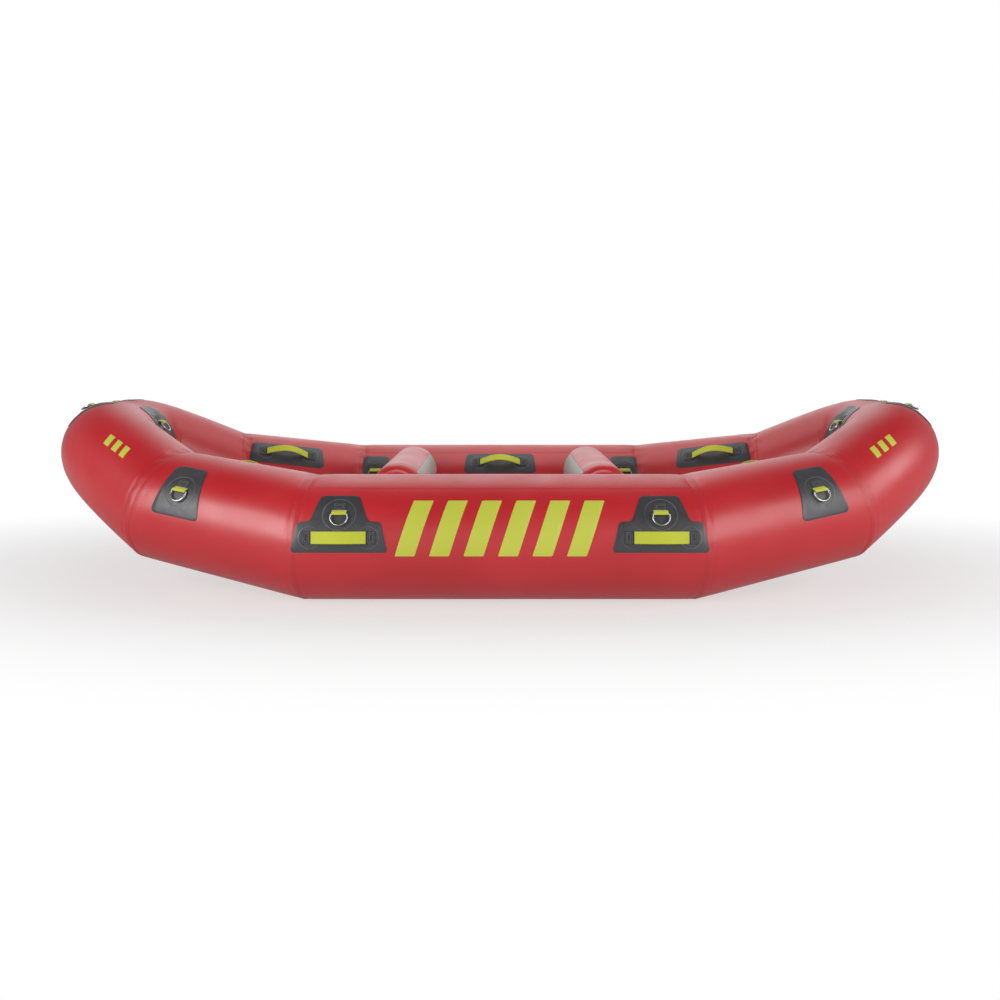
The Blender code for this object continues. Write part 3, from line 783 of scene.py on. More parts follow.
# %% Lay the tapes
TAPE_W = 0.032
TAPE_T = 0.0014
TAPE_EDGE = 0.0006
TAPE_STANDS = 0.85          # share of its thickness by which a tape stands over the panel
STRIP_T = 0.0013
STRIP_STANDS = 0.0011
STRIP_LOW = 57.5
STRIP_HIGH = 118.8


def band(name, length, width, long_cuts, wide_cuts, thickness, material):
    """Flat rectangle, x along its length from the middle and y across it, its cut edges paler."""
    bpy.ops.mesh.primitive_grid_add(x_subdivisions=long_cuts, y_subdivisions=wide_cuts, size=1)
    piece = start(name, material)
    for vertex in piece.data.vertices:
        vertex.co.x *= length
        vertex.co.y *= width
    keep_cut(piece)
    thicken(piece, thickness, TAPE_EDGE)
    piece.data.materials.append(PALE_EDGE)
    for face in piece.data.polygons:
        face.material_index = int(abs(face.normal.z) < 0.9)
    return piece


def tape_at(seam_s):
    """Closed tape round the tube over the seam at seam_s."""
    radius = spine(seam_s)[2]
    piece = band("tape", TAPE_W, 2 * pi * radius, 6, AROUND, TAPE_T, RED_TAPE)
    cut_end = pi * radius - MERGE_GAP
    edit(piece)
    pick_faces(piece, lambda face: all(abs(vert.co.y) > cut_end for vert in face.verts))
    bpy.ops.mesh.delete(type="ONLY_FACE")
    done()
    for vertex in piece.data.vertices:
        angle = GLUE_LINE + 180 + degrees(vertex.co.y / radius)
        vertex.co = on_skin(seam_s + vertex.co.x, angle, TAPE_T * TAPE_STANDS + vertex.co.z)
    weld(piece)
    finish_shape(piece)
    return piece


spread(tape_at(KINK_X), "tape_kink", QUARTERS, None)
spread(tape_at(QUARTER_S), "tape_turn", QUARTERS, None)

strip_width = radians(STRIP_HIGH - STRIP_LOW) * TUBE_R
strip_middle = (STRIP_HIGH + STRIP_LOW) / 2
strip_reach = KINK_X - TAPE_W / 2
wear_strip = band("strip", 2 * strip_reach, strip_width, 60, 34, STRIP_T, RED_TAPE)
lay(wear_strip, lambda x, y, z: on_skin(x, strip_middle + degrees(y / TUBE_R), STRIP_STANDS + z))
spread(wear_strip, "wear_strip", BOTH_SIDES, None)
print("tapes", TAPE_W * 1000, "mm wide, wear strips", round(strip_width * 1000), "mm wide")

# %% [markdown]
# ## Patches
#
# The patches are moulded rubber. A ring of corners is placed on the outline, each corner is
# rounded, and the sheet is sliced into bands so that it bends round the tube. Discs with a raised
# rim sit where a ring or a handle is fixed. Shrinkwrapping a plate would stretch its outline; a
# flat cut keeps its true size when it is rolled on.

# %% Cut sheets and discs
PATCH_T = 0.0026
PATCH_EDGE = 0.0009
DISC_T = 0.0016
RIM_W = 0.0028
RIM_H = 0.0010
BASE_R = 0.043
DISC_R = 0.065
EMBED = 0.0004              # a glued sheet is sunk this far, so that no light passes under it
CORNER_STEPS = 5


def outline_sheet(name, corners, rounding, material):
    """Flat face with rounded corners, its corners counted anticlockwise."""
    bpy.ops.mesh.primitive_circle_add(vertices=len(corners), radius=1, fill_type="NGON")
    piece = start(name, material)
    for vertex, corner in zip(piece.data.vertices, corners):
        vertex.co = (*corner, 0)
    edit(piece)
    bpy.ops.mesh.bevel(offset=rounding, segments=CORNER_STEPS, affect="VERTICES")
    bpy.ops.mesh.select_all(action="SELECT")
    bpy.ops.mesh.normals_make_consistent(inside=False)
    done()
    if piece.data.polygons[0].normal.z < 0:
        piece.data.flip_normals()
    return piece


def extent(piece, axis):
    """Lowest and highest place of a piece along an axis."""
    values = [vertex.co[axis] for vertex in piece.data.vertices]
    return min(values), max(values)


def bendable(piece, along=0.03, around=0.009):
    """Slice a flat piece so that it can bend both ways."""
    cut_lines(piece, 1, *extent(piece, 1), around)
    cut_lines(piece, 0, *extent(piece, 0), along)
    keep_cut(piece)


def raised_disc(name, radius, x, y):
    """Round base with a rim, its middle slightly lower, and a painted highlight on the rim."""
    bpy.ops.mesh.primitive_circle_add(vertices=72, radius=radius, fill_type="NGON", location=(x, y, 0))
    piece = start(name, CHARCOAL)
    bpy.ops.object.transform_apply()
    piece.data.materials.append(RIM_PAINTED_HIGHLIGHT)
    edit(piece)
    bpy.ops.mesh.inset(thickness=RIM_W)
    bpy.ops.mesh.inset(thickness=RIM_H)
    bpy.ops.transform.translate(value=(0, 0, -RIM_H))
    done()
    # the rim's raised faces get the paler rubber, a painted highlight along the rim
    for face in piece.data.polygons:
        face.material_index = int(face.center.z > -RIM_H / 4)
    bendable(piece, 0.02)
    thicken(piece, DISC_T, RIM_H / 2)
    return piece


print("patches", 1000 * PATCH_T, "mm thick, discs", 2000 * DISC_R, "and", 2000 * BASE_R, "mm across")

# %% Glue to the tube


def glued(s0, angle0, base=0.0, up=1):
    """Place function that lays a flat cut on the tube; up is -1 where its y runs down the tube."""
    radius = spine(s0)[2]
    stretch = stretch_at(s0, angle0)

    def place(x, y, z):
        return on_tube(s0 + up * x / stretch, angle0 + up * degrees(y / radius), base + z, s0)

    return place


def patch(name, corners, rounding, s0, angle0, discs):
    """Patch with its discs, laid on the tube; discs are (radius, x, y) in the flat cut."""
    sheet = outline_sheet(name, corners, rounding, CHARCOAL)
    bendable(sheet)
    thicken(sheet, PATCH_T, PATCH_EDGE)
    lifts = [(sheet, PATCH_T - EMBED)]
    for disc_radius, x, y in discs:
        lifts.append((raised_disc(name + "_disc", disc_radius, x, y), PATCH_T + DISC_T - 2 * EMBED))
    for piece, top in lifts:
        lay(piece, glued(s0, angle0, top))
    return join(name, [piece for piece, _ in lifts])


print("sheets are sunk by", 1000 * EMBED, "mm")

# %% Lay the patches
RING_PATCH_REACH = 0.112    # half its height on the tube
RING_PATCH_TOP = 0.0675     # half its narrow side
RING_SEATS = {              # s, angle of the patch's middle, angle of the ring's bar, half its foot
    "quarter": (1.257, 32, 30.5, 0.110),
    "end": (2.015, 64, 65, 0.110),
    "inner": (0.652, 150.5, 148, 0.069),
    "painter": (TIP_S, 150, 150, 0.110),
}
HAT_S = 0.617
HAT_RING_ANGLE = 30.0
HAT_STRAP_ANGLE = 9.5
HAT_OUTLINE = [(0.187, -0.0155), (0.160, 0.104), (0.112, 0.104), (0.0725, 0.217)]
GRIP_S = 1.190
GRIP_ANGLE = 135.5
GRIP_OUTLINE = [(-0.176, -0.066), (0.176, -0.066), (0.190, 0.066), (-0.190, 0.066)]
BASE_X = 0.112              # from a handle's middle to the disc under each foot
ROUNDING = {"ring": 0.021, "hat": 0.016, "grip": 0.026}


def ring_patch(kind):
    """Patch with one D-ring, its narrow side towards the tube's top."""
    s0, middle, bar, foot = RING_SEATS[kind]
    low, high, top = -RING_PATCH_REACH, RING_PATCH_REACH, RING_PATCH_TOP
    corners = [(-foot, low), (foot, low), (top, high), (-top, high)]
    if middle > 90:
        corners = [(x, -y) for x, y in reversed(corners)]
    down = radians(bar - middle) * spine(s0)[2]
    return patch(f"patch_{kind}", corners, ROUNDING["ring"], s0, middle, [(DISC_R, 0, down)])


def hat_patch():
    """Patch in the shape of a hat: a handle on its brim and a ring on its crown."""
    left = [(-x, y) for x, y in reversed(HAT_OUTLINE)]
    ring_y = radians(HAT_RING_ANGLE) * TUBE_R
    strap_y = radians(HAT_STRAP_ANGLE) * TUBE_R
    discs = [(DISC_R, 0, ring_y), (BASE_R, -BASE_X, strap_y), (BASE_R, BASE_X, strap_y)]
    return patch("patch_side", HAT_OUTLINE + left, ROUNDING["hat"], HAT_S, 0, discs)


def grip_patch(name, s0):
    """Long patch inside the raft with a handle."""
    discs = [(BASE_R, -BASE_X, 0), (BASE_R, BASE_X, 0)]
    return patch(name, GRIP_OUTLINE, ROUNDING["grip"], s0, GRIP_ANGLE, discs)


for kind in ("quarter", "end", "inner"):
    spread(ring_patch(kind), f"patch_{kind}", QUARTERS, f"{kind}_patch")
spread(ring_patch("painter"), "patch_painter", TIPS, "painter_patch")
spread(hat_patch(), "patch_side", QUARTERS, "side_patch")
spread(grip_patch("grip", GRIP_S), "patch_grip", QUARTERS, "grip_patch")
spread(grip_patch("grip_mid", 0), "patch_grip", MIDS, "grip_patch")

# %% [markdown]
# ## Rings
#
# A D-ring is one bent wire: a straight bar, two short legs and a half circle. Its path is drawn
# from a circle's upper half cut away and its ends extruded, and the wire is then given its round
# section. A torus has no straight bar, and a traced mesh no clean bends. Each ring turns about its
# bar, so its place comes from the frame's joints.

# %% Bend the wire
WIRE_R = 0.004
RING_HALF_W = 0.032
RING_LEG = 0.015
RING_CORNER = 0.007


def bend_ring():
    """D-ring around the origin: bar along x, bow towards -y."""
    bpy.ops.mesh.primitive_circle_add(vertices=64, radius=RING_HALF_W)
    piece = start("d_ring", STEEL)
    edit(piece)
    bpy.ops.mesh.bisect(plane_co=(0, 0, 0), plane_no=(0, 1, 0), clear_outer=True)
    bpy.ops.mesh.select_all(action="SELECT")
    bpy.ops.transform.translate(value=(0, -RING_LEG, 0))
    pick_points(piece, lambda vert: len(vert.link_edges) == 1)
    bpy.ops.mesh.extrude_region_move(TRANSFORM_OT_translate={"value": (0, RING_LEG, 0)})
    bpy.ops.mesh.edge_face_add()
    pick_points(piece, lambda vert: vert.co.y > -0.0001)
    bpy.ops.mesh.bevel(offset=RING_CORNER, segments=6, affect="VERTICES")
    done()
    bpy.ops.object.convert(target="CURVE")
    piece = bpy.context.object
    piece.data.bevel_depth = WIRE_R
    piece.data.bevel_resolution = 4
    bpy.ops.object.convert(target="MESH")
    piece = bpy.context.object
    finish_shape(piece, 60)
    return piece


ring_shape = bend_ring()
print("one ring has", len(ring_shape.data.polygons), "faces")

# %% Hang the rings
REST_TILT = {"painter": -4}         # degrees by which a ring stands off its patch
USUAL_TILT = 2
CENTRE_SAMPLES = 400
CENTRES = []
for i in range(CENTRE_SAMPLES):
    centre = spine(TIP_S * i / (CENTRE_SAMPLES - 1))[0]
    CENTRES += [Vector((centre.x * x, centre.y * y, centre.z)) for _, x, y in QUARTERS]


def seat_of(joint):
    """Matrix of a ring's seat: x along the tube, y up the patch, z out, origin on the bar."""
    bar = Vector(joint["pos_m"])
    along = -Vector(joint["axis"]).normalized()
    out = bar - min(CENTRES, key=lambda centre: (centre - bar).length)
    out = (out - along * out.dot(along)).normalized()
    seat = Matrix((along, out.cross(along), out)).transposed().to_4x4()
    seat.translation = bar
    return seat


for joint in frame["joints"]:
    node = joint["child"]
    tilt = REST_TILT.get(node.split("_")[0], USUAL_TILT)
    hang = seat_of(joint) @ Matrix.Rotation(radians(tilt), 4, "X")
    twin = copy_of(ring_shape, f"wire_{node}", matrix=hang)
    twin.data.materials.clear()
    twin.data.materials.append(STEEL)
    finish_shape(twin, 60)
    ride(twin, node, [node])
bpy.data.objects.remove(ring_shape)

# %% [markdown]
# ## Webbing
#
# Webbing is a flat woven strap, 2 inches wide. A ribbon starts as a plane and is extruded step by
# step along its path, then sliced lengthwise so that it can bend with the tube, and thickened. A
# curve with a flat bevel twists where its path turns; a ribbon that is extruded step by step can't.

# %% Fold a ribbon
WEB_W = 2 * INCH
WEB_T = 0.0018
WEB_EDGE = 0.0005
BEND_STEP = 0.0085          # between the lines along which webbing can bend


def ribbon(name, path, width, thickness, material):
    """Webbing that follows (y, z) points, its width along x, its threads along the path."""
    (y0, z0), (y1, z1) = path[:2]
    bpy.ops.mesh.primitive_plane_add(size=1)
    piece = start(name, material)
    corners = ((-1, y0, z0), (1, y0, z0), (-1, y1, z1), (1, y1, z1))
    for vertex, (side, y, z) in zip(piece.data.vertices, corners):
        vertex.co = (side * width / 2, y, z)
    edit(piece)
    pick_points(piece, lambda vert: vert.index > 1)
    for (y0, z0), (y1, z1) in zip(path[1:], path[2:]):
        bpy.ops.mesh.extrude_region_move(TRANSFORM_OT_translate={"value": (0, y1 - y0, z1 - z0)})
    done()
    travelled = [0.0]
    for (y0, z0), (y1, z1) in zip(path, path[1:]):
        travelled.append(travelled[-1] + sqrt((y1 - y0) ** 2 + (z1 - z0) ** 2))
    layer = piece.data.uv_layers.active or piece.data.uv_layers.new(name="cut")
    for loop in piece.data.loops:
        co = piece.data.vertices[loop.vertex_index].co
        gaps = [(y - co.y) ** 2 + (z - co.z) ** 2 for y, z in path]
        layer.data[loop.index].uv = (travelled[gaps.index(min(gaps))], co.x)
    cut_lines(piece, 0, -width / 2, width / 2, BEND_STEP)
    apply(piece, "SOLIDIFY", thickness=thickness, offset=0)
    apply(piece, "BEVEL", width=WEB_EDGE, segments=2, limit_method="ANGLE", angle_limit=radians(60))
    finish_shape(piece, 40)
    return piece


def level_path(start_y, end_y, level):
    """Straight path that can bend with the tube."""
    steps = round((end_y - start_y) / BEND_STEP)
    return [(start_y + (end_y - start_y) * i / steps, level) for i in range(steps + 1)]


print("webbing", round(1000 * WEB_W), "mm wide")

# %% [markdown]
# Stitches show as a row of small beads, each as long as one stitch, in two boxes that hold the end
# of a strap. They are real shapes, because a painted dash has no shadow and no height up close.

# %% Stitches
STITCH = 0.0042
STITCH_FILL = 0.86          # share of a stitch that the thread covers
THREAD_W = 0.0015
THREAD_H = 0.0010
BOX_STEP = 0.25             # from the outer box of stitches to the inner, as a share of its length
BOX_HALF_W = WEB_W * 0.40


def stitches(name, rows):
    """One thread's stitches, each a small bead from one flat point to the next."""
    beads = []
    for x0, y0, x1, y1 in rows:
        bpy.ops.mesh.primitive_uv_sphere_add(segments=8, ring_count=4, radius=0.5,
                                             location=((x0 + x1) / 2, (y0 + y1) / 2, 0))
        bead = start(name, THREAD)
        length = sqrt((x1 - x0) ** 2 + (y1 - y0) ** 2)
        bead.scale = (length * STITCH_FILL, THREAD_W, THREAD_H)
        bead.rotation_euler = (0, 0, atan2(y1 - y0, x1 - x0))
        beads.append(bead)
    piece = join(name, beads)
    bpy.ops.object.transform_apply()
    finish_shape(piece, 60)
    return piece


def seam(corners):
    """Stitches of even length round a closed line of corners."""
    row = []
    for (x0, y0), (x1, y1) in zip(corners, corners[1:] + corners[:1]):
        count = max(1, round(sqrt((x1 - x0) ** 2 + (y1 - y0) ** 2) / STITCH))
        for i in range(count):
            a, b = i / count, (i + 1) / count
            row.append((x0 + (x1 - x0) * a, y0 + (y1 - y0) * a, x0 + (x1 - x0) * b, y0 + (y1 - y0) * b))
    return row


def sewn_box(low, high):
    """Two boxes of stitches, one in the other, across the end of a strap."""
    rows = []
    for inset in (0, (high - low) * BOX_STEP):
        x, y0, y1 = BOX_HALF_W - inset, low + inset, high - inset
        rows += seam([(-x, y0), (x, y0), (x, y1), (-x, y1)])
    return rows


print("stitches", 1000 * STITCH, "mm long")

# %% [markdown]
# Each ring hangs in a loop of yellow webbing that goes over its bar and back under it. The loop's
# black tail is sewn to the disc above it. One loop is made for each kind of seat, because the tube
# is thicker at some seats than at others, and it is then mirrored to the other quarters.

# %% Sew the ring seats
BAR_LIFT = 0.0112           # the ring's bar above the tube
DISC_TOP = PATCH_T + DISC_T - 2 * EMBED - RIM_H
LOOP_W = WEB_W * 1.1
LOOP_R = WIRE_R + 0.0004 + WEB_T / 2
LOOP_STEPS = 14
LOOP_START = 62             # degrees round the bar, and how far round the loop goes
LOOP_TURN = 205
TAIL_W = WEB_W * 0.96
TAIL_START = 0.013
TAIL_END = 0.046
TAIL_SEAM = (TAIL_START + 0.006, TAIL_END - 0.004)
THREAD_STANDS = THREAD_H * 0.2      # middle of a stitch above its strap


def loop_path():
    """Yellow loop: down from the tail, over the ring's bar and back under it."""
    level = DISC_TOP + WEB_T / 2
    path = [(0.016, level), (0.0125, level + 0.0006)]
    for i in range(LOOP_STEPS + 1):
        a = radians(LOOP_START + LOOP_TURN * i / LOOP_STEPS)
        path.append((LOOP_R * cos(a), BAR_LIFT + LOOP_R * sin(a)))
    path.append((0.004, level + 0.0004))
    return path


ring_kinds = [(kind, s0, bar) for kind, (s0, _, bar, _) in RING_SEATS.items()]
ring_kinds.append(("side", HAT_S, HAT_RING_ANGLE))
for kind, s0, bar in ring_kinds:
    up = -1 if bar > 90 else 1
    loop = ribbon("loop", loop_path(), LOOP_W, WEB_T, YELLOW_WEB)
    tail_path = level_path(TAIL_START, TAIL_END, DISC_TOP + WEB_T / 2)
    tail = ribbon("tail", tail_path, TAIL_W, WEB_T, BLACK_WEB)
    sewn = stitches("stitches", sewn_box(*TAIL_SEAM))
    for piece in (loop, tail):
        lay(piece, glued(s0, bar, 0, up))
    lay(sewn, glued(s0, bar, DISC_TOP + WEB_T + THREAD_STANDS, up))
    places = TIPS if kind == "painter" else QUARTERS
    spread(loop, f"loop_{kind}", places, None)
    spread(tail, f"tail_{kind}", places, None)
    spread(sewn, f"stitches_{kind}", places, None)

# %% [markdown]
# A handle is black webbing in a stiff yellow sleeve, bowed out so that a gloved hand gets behind
# it. The sleeve stands free as an arch. The webbing comes out at each end, goes down to its disc
# and is sewn there. A straight box would be quick, but a bowed sleeve shows that it is soft.

# %% Sew the handles
STRAP_HALF_SPAN = 0.104
SLEEVES = {"side": (0.0475, 0.030), "grip": (0.036, 0.040)}      # width and bow of each handle
SLEEVE_T = 0.0042
SLEEVE_LIFT = 0.004         # of its ends over the discs
FOOT_W = WEB_W * 0.98
FOOT_T = 0.0026
FOOT_END = 0.140
FOOT_SEAM = (STRAP_HALF_SPAN + 0.009, FOOT_END - 0.004)
ARCH_STEPS = 24
HANDLES = [("side", HAT_S, HAT_STRAP_ANGLE, QUARTERS), ("grip", GRIP_S, GRIP_ANGLE, QUARTERS),
           ("grip", 0, GRIP_ANGLE, MIDS)]


def grip_seat(s, angle):
    """Matrix of a handle's seat: x down the tube, y along it, z out, origin on the wall."""
    centre, along, radius = spine(s)
    out = spoke(along, angle)
    seat = Matrix((along.cross(out), along, out)).transposed().to_4x4()
    seat.translation = centre + out * radius
    return seat


def arch_path(bow):
    """Half wave from one foot of the handle to the other."""
    level = DISC_TOP + SLEEVE_LIFT
    path = []
    for i in range(ARCH_STEPS + 1):
        y = STRAP_HALF_SPAN * (2 * i / ARCH_STEPS - 1)
        path.append((y, level + bow * cos(pi / 2 * y / STRAP_HALF_SPAN)))
    return path


def foot_path():
    """Out of the sleeve, down to the base and flat along it."""
    level = DISC_TOP + FOOT_T / 2
    path = [(STRAP_HALF_SPAN - 0.006, level + 0.0045), (STRAP_HALF_SPAN, level + 0.0022)]
    return path + level_path(STRAP_HALF_SPAN + 0.005, FOOT_END, level)


for kind, s0, angle, places in HANDLES:
    width, bow = SLEEVES[kind]
    sleeve = ribbon("sleeve", arch_path(bow), width, SLEEVE_T, YELLOW_WEB)
    sleeve.data.transform(grip_seat(s0, angle))
    finish_shape(sleeve, 40)
    feet, seams = [], []
    for turn in (1, -1):
        foot = ribbon("foot", foot_path(), FOOT_W, FOOT_T, BLACK_WEB)
        box = stitches("seam", sewn_box(*FOOT_SEAM))
        box.data.transform(Matrix.Translation((0, 0, DISC_TOP + FOOT_T + THREAD_STANDS)))
        for piece in (foot, box):
            piece.data.transform(Matrix.Rotation(pi / 2 * turn, 4, "Z"))
            lay(piece, glued(s0, angle))
        feet.append(foot)
        seams.append(box)
    spread(sleeve, f"sleeve_{kind}", places, None)
    spread(join("feet", feet), f"feet_{kind}", places, None)
    spread(join("seams", seams), f"stitches_handle_{kind}", places, None)
print(sum(len(places) for _, _, _, places in HANDLES), "handles")

# %% [markdown]
# ## Markings
#
# The real raft is lettered in lime yellow. Lettering is left off this part, so the same place
# carries plain hi-vis bars of the same height, colour and weight. They are cut from thin sheet and
# glued on like the patches, so that they follow the tube from every side.

# %% Lay the markings
MARK_T = 0.0009
MARK_STANDS = 0.7           # share of its thickness by which a bar stands over the tube
BLOCK_HALF_LENGTH = 0.404
BLOCK_HEIGHT = 0.224
BLOCK_ANGLE = 18.4
BLOCK_COUNT = 6
BADGE_HALF_LENGTH = 0.080
BADGE_HEIGHT = 0.052
BADGE_S = 1.668
BADGE_ANGLE = 50
BADGE_COUNT = 3
BAR_LEAN = 0.16             # half the lean of a bar, as a share of its height
BAR_SHARE = 0.58            # of the step from one bar to the next
BAR_ROUNDING = 0.02         # of its corners, as a share of its height


def leaning_bars(name, half_length, height, count):
    """Row of bars that lean forward, flat, from -half_length to half_length."""
    lean = BAR_LEAN * height
    step = 2 * (half_length - lean) / (count - 1 + BAR_SHARE)
    half = step * BAR_SHARE / 2
    bars = []
    for i in range(count):
        middle_x = step * (i - (count - 1) / 2)
        corners = [(-half - lean, -height / 2), (half - lean, -height / 2),
                   (half + lean, height / 2), (-half + lean, height / 2)]
        placed = [(middle_x + x, y) for x, y in corners]
        bar = outline_sheet(name, placed, height * BAR_ROUNDING, MARKING)
        bendable(bar)
        thicken(bar, MARK_T, MARK_T / 3)
        bars.append(bar)
    return bars


for i, bar in enumerate(leaning_bars("bar", BLOCK_HALF_LENGTH, BLOCK_HEIGHT, BLOCK_COUNT)):
    lay(bar, glued(0, BLOCK_ANGLE, MARK_T * MARK_STANDS))
    spread(bar, f"marking_{i + 1}", BOTH_SIDES, None)
badge = join("badge", leaning_bars("badge", BADGE_HALF_LENGTH, BADGE_HEIGHT, BADGE_COUNT))
lay(badge, glued(BADGE_S, BADGE_ANGLE, MARK_T * MARK_STANDS))
spread(badge, "badge", QUARTERS, None)
print(BLOCK_COUNT, "bars a side and", len(QUARTERS), "badges")

# %% [markdown]
# ## Thwarts
#
# The thwarts are short inflated tubes across the raft: a red sheet on top where people brace, grey
# fabric below, and red domed ends that are pressed flat against the side tubes. The body is a
# cylinder, the end grows out of one by extruding and resizing ring by ring, and the top is one
# more flat cut. One closed form would need its colours painted; three pieces have real edges.

# %% Inflate the thwarts
THWART_X = 0.443
THWART_Z = 0.408
THWART_R = 0.115
CAP_SEAM_R = 0.095
CAP_SEAM_Y = 0.450
CAP_END_Y = 0.505
CAP_START_Y = 0.405
CAP_R = THWART_R + 0.001    # the cap's sheet lies over the body's
CAP_LAP = 0.012
SEAM_DIP = 0.004            # from the cap's seam to where its dome starts
DOME_STEPS = 9
DOME_FULLNESS = 0.8         # below 1 the dome is blunter than a ball
TOP_HALF_ANGLE = 46
TOP_T = 0.0012
TOP_LAP = 0.004
CLEARANCE = 0.0004          # between a cap and the side tube
THWART_AROUND = 72


def press_to_tube(piece):
    """Push what would enter a side tube back to just outside its wall."""
    for vertex in piece.data.vertices:
        y = abs(vertex.co.y)
        offset = Vector((0, y - BEAM_Y, vertex.co.z - TUBE_R))
        if offset.length < TUBE_R + CLEARANCE:
            offset.length = TUBE_R + CLEARANCE
            vertex.co.z = TUBE_R + offset.z
            vertex.co.y = (BEAM_Y + offset.y) * (1 if vertex.co.y > 0 else -1)


def thwart_body(x):
    """Grey tube between the two caps."""
    bpy.ops.mesh.primitive_cylinder_add(vertices=THWART_AROUND, radius=THWART_R, depth=2 * CAP_START_Y,
                                        location=(x, 0, THWART_Z), rotation=(pi / 2, 0, 0))
    piece = start("thwart_body", GREY)
    bpy.ops.object.transform_apply()
    cut_lines(piece, 1, -CAP_START_Y, CAP_START_Y, 0.03)
    finish_shape(piece)
    return piece


def cap_profile():
    """Radius and y along a cap, from its shoulder over the seam to the dome's top."""
    dome_start = CAP_SEAM_Y + SEAM_DIP
    profile = [(THWART_R - 0.001, -0.425), (THWART_R - 0.006, -0.438), (CAP_SEAM_R + 0.004, -0.447),
               (CAP_SEAM_R, -CAP_SEAM_Y), (CAP_SEAM_R - 0.002, -dome_start)]
    for i in range(1, DOME_STEPS):
        a = radians(90 * i / DOME_STEPS)
        reach = dome_start + (CAP_END_Y - dome_start) * sin(a)
        profile.append((CAP_SEAM_R * cos(a) ** DOME_FULLNESS, -reach))
    return profile


def thwart_cap(x):
    """Shoulder, seam and dome of one end, towards -y."""
    bpy.ops.mesh.primitive_cylinder_add(vertices=THWART_AROUND, radius=CAP_R, depth=CAP_LAP,
                                        location=(x, -CAP_START_Y, THWART_Z), rotation=(pi / 2, 0, 0))
    piece = start("thwart_cap", RED)
    bpy.ops.object.transform_apply()
    edit(piece)
    pick_faces(piece, lambda face: face.normal.y < -0.9)
    radius, y = CAP_R, -CAP_START_Y - CAP_LAP / 2
    for next_radius, next_y in cap_profile():
        bpy.ops.mesh.extrude_region_move(TRANSFORM_OT_translate={"value": (0, next_y - y, 0)})
        ratio = next_radius / radius
        bpy.ops.transform.resize(value=(ratio, 1, ratio), center_override=(x, next_y, THWART_Z))
        radius, y = next_radius, next_y
    done()
    press_to_tube(piece)
    finish_shape(piece, 50)
    return piece


def thwart_top(x):
    """Red sheet over the top, from cap to cap."""
    width = 2 * radians(TOP_HALF_ANGLE) * THWART_R
    piece = band("thwart_top", 2 * CAP_START_Y + TOP_LAP, width, 12, 36, TOP_T, RED)

    def over(u, v, z):
        a = v / THWART_R
        r = CAP_R + z
        return Vector((x + r * sin(a), -u, THWART_Z + r * cos(a)))

    lay(piece, over)
    return piece


for end, x in (("fore", THWART_X), ("aft", -THWART_X)):
    body = thwart_body(x)
    body.name = f"thwart_body_{end}"
    ride(body, "raft", [f"thwart_{end}"])
    top = thwart_top(x)
    top.name = f"thwart_top_{end}"
    ride(top, "raft")
    spread(thwart_cap(x), f"thwart_cap_{end}", BOTH_SIDES, None)
print("thwarts", round(2 * THWART_R, 3), "m across")

# %% [markdown]
# ## Floor
#
# The floor is a flat air chamber whose two sheets are held together by threads in lines, so its top
# is a row of soft ribs. It is laced in under the tubes and follows them up into the bow and the
# stern. A grid is closed to a flat sleeve, then every ring of it is set on its place. Cloth
# simulation could blow the ribs up, but their height is known, so it is given directly.

# %% The floor's line and section
FLOOR_EDGE_R = 0.055
FLOOR_ANGLE = 210           # where the floor lies against the tube
FLOOR_GAP = 0.0008
FLOOR_RIBS = 7
RIB_DIP = 0.0105
FLOOR_END_S = 2.045
FLOOR_ROWS = 150
FLOOR_AROUND = 208
FLOOR_ROUND_ROWS = 12       # rows that close each end
BOTTOM_SHARE = 0.30         # of the points, across the flat underside
EDGE_SHARE = 0.10           # and round each edge
END_NARROWING = 0.25        # by which the rounded ends draw in
END_T_SHARE = 0.04          # of the floor's thickness, that is left at the last row


def floor_edge(s):
    """Middle of the floor's round edge beside the tube, on the starboard side."""
    point = on_skin(abs(s), FLOOR_ANGLE, FLOOR_EDGE_R + FLOOR_GAP)
    return Vector((point.x if s >= 0 else -point.x, point.y, point.z))


def floor_outline(turn, width, swell):
    """Point (y, z) of the floor's section for a turn of 0 to 1; swell is 1 at full thickness."""
    r = FLOOR_EDGE_R * swell
    if turn < EDGE_SHARE:
        a = pi * turn / EDGE_SHARE - pi / 2
        return width + r * cos(a), r * sin(a)
    if turn > 1 - BOTTOM_SHARE:
        return -width + 2 * width * (turn - 1 + BOTTOM_SHARE) / BOTTOM_SHARE, -r
    top_end = 1 - BOTTOM_SHARE - EDGE_SHARE
    if turn > top_end:
        a = pi / 2 + pi * (turn - top_end) / EDGE_SHARE
        return -width + r * cos(a), r * sin(a)
    across = (turn - EDGE_SHARE) / (top_end - EDGE_SHARE)
    rib = FLOOR_RIBS * across
    inner = 0.5 < rib < FLOOR_RIBS - 0.5
    dip = RIB_DIP * (1 - sqrt(abs(sin(pi * rib)))) if inner else 0
    return width - 2 * width * across, r - dip * swell


print("floor", 2000 * FLOOR_EDGE_R, "mm thick,", round(2 * abs(floor_edge(0).y), 2), "m wide amidships")

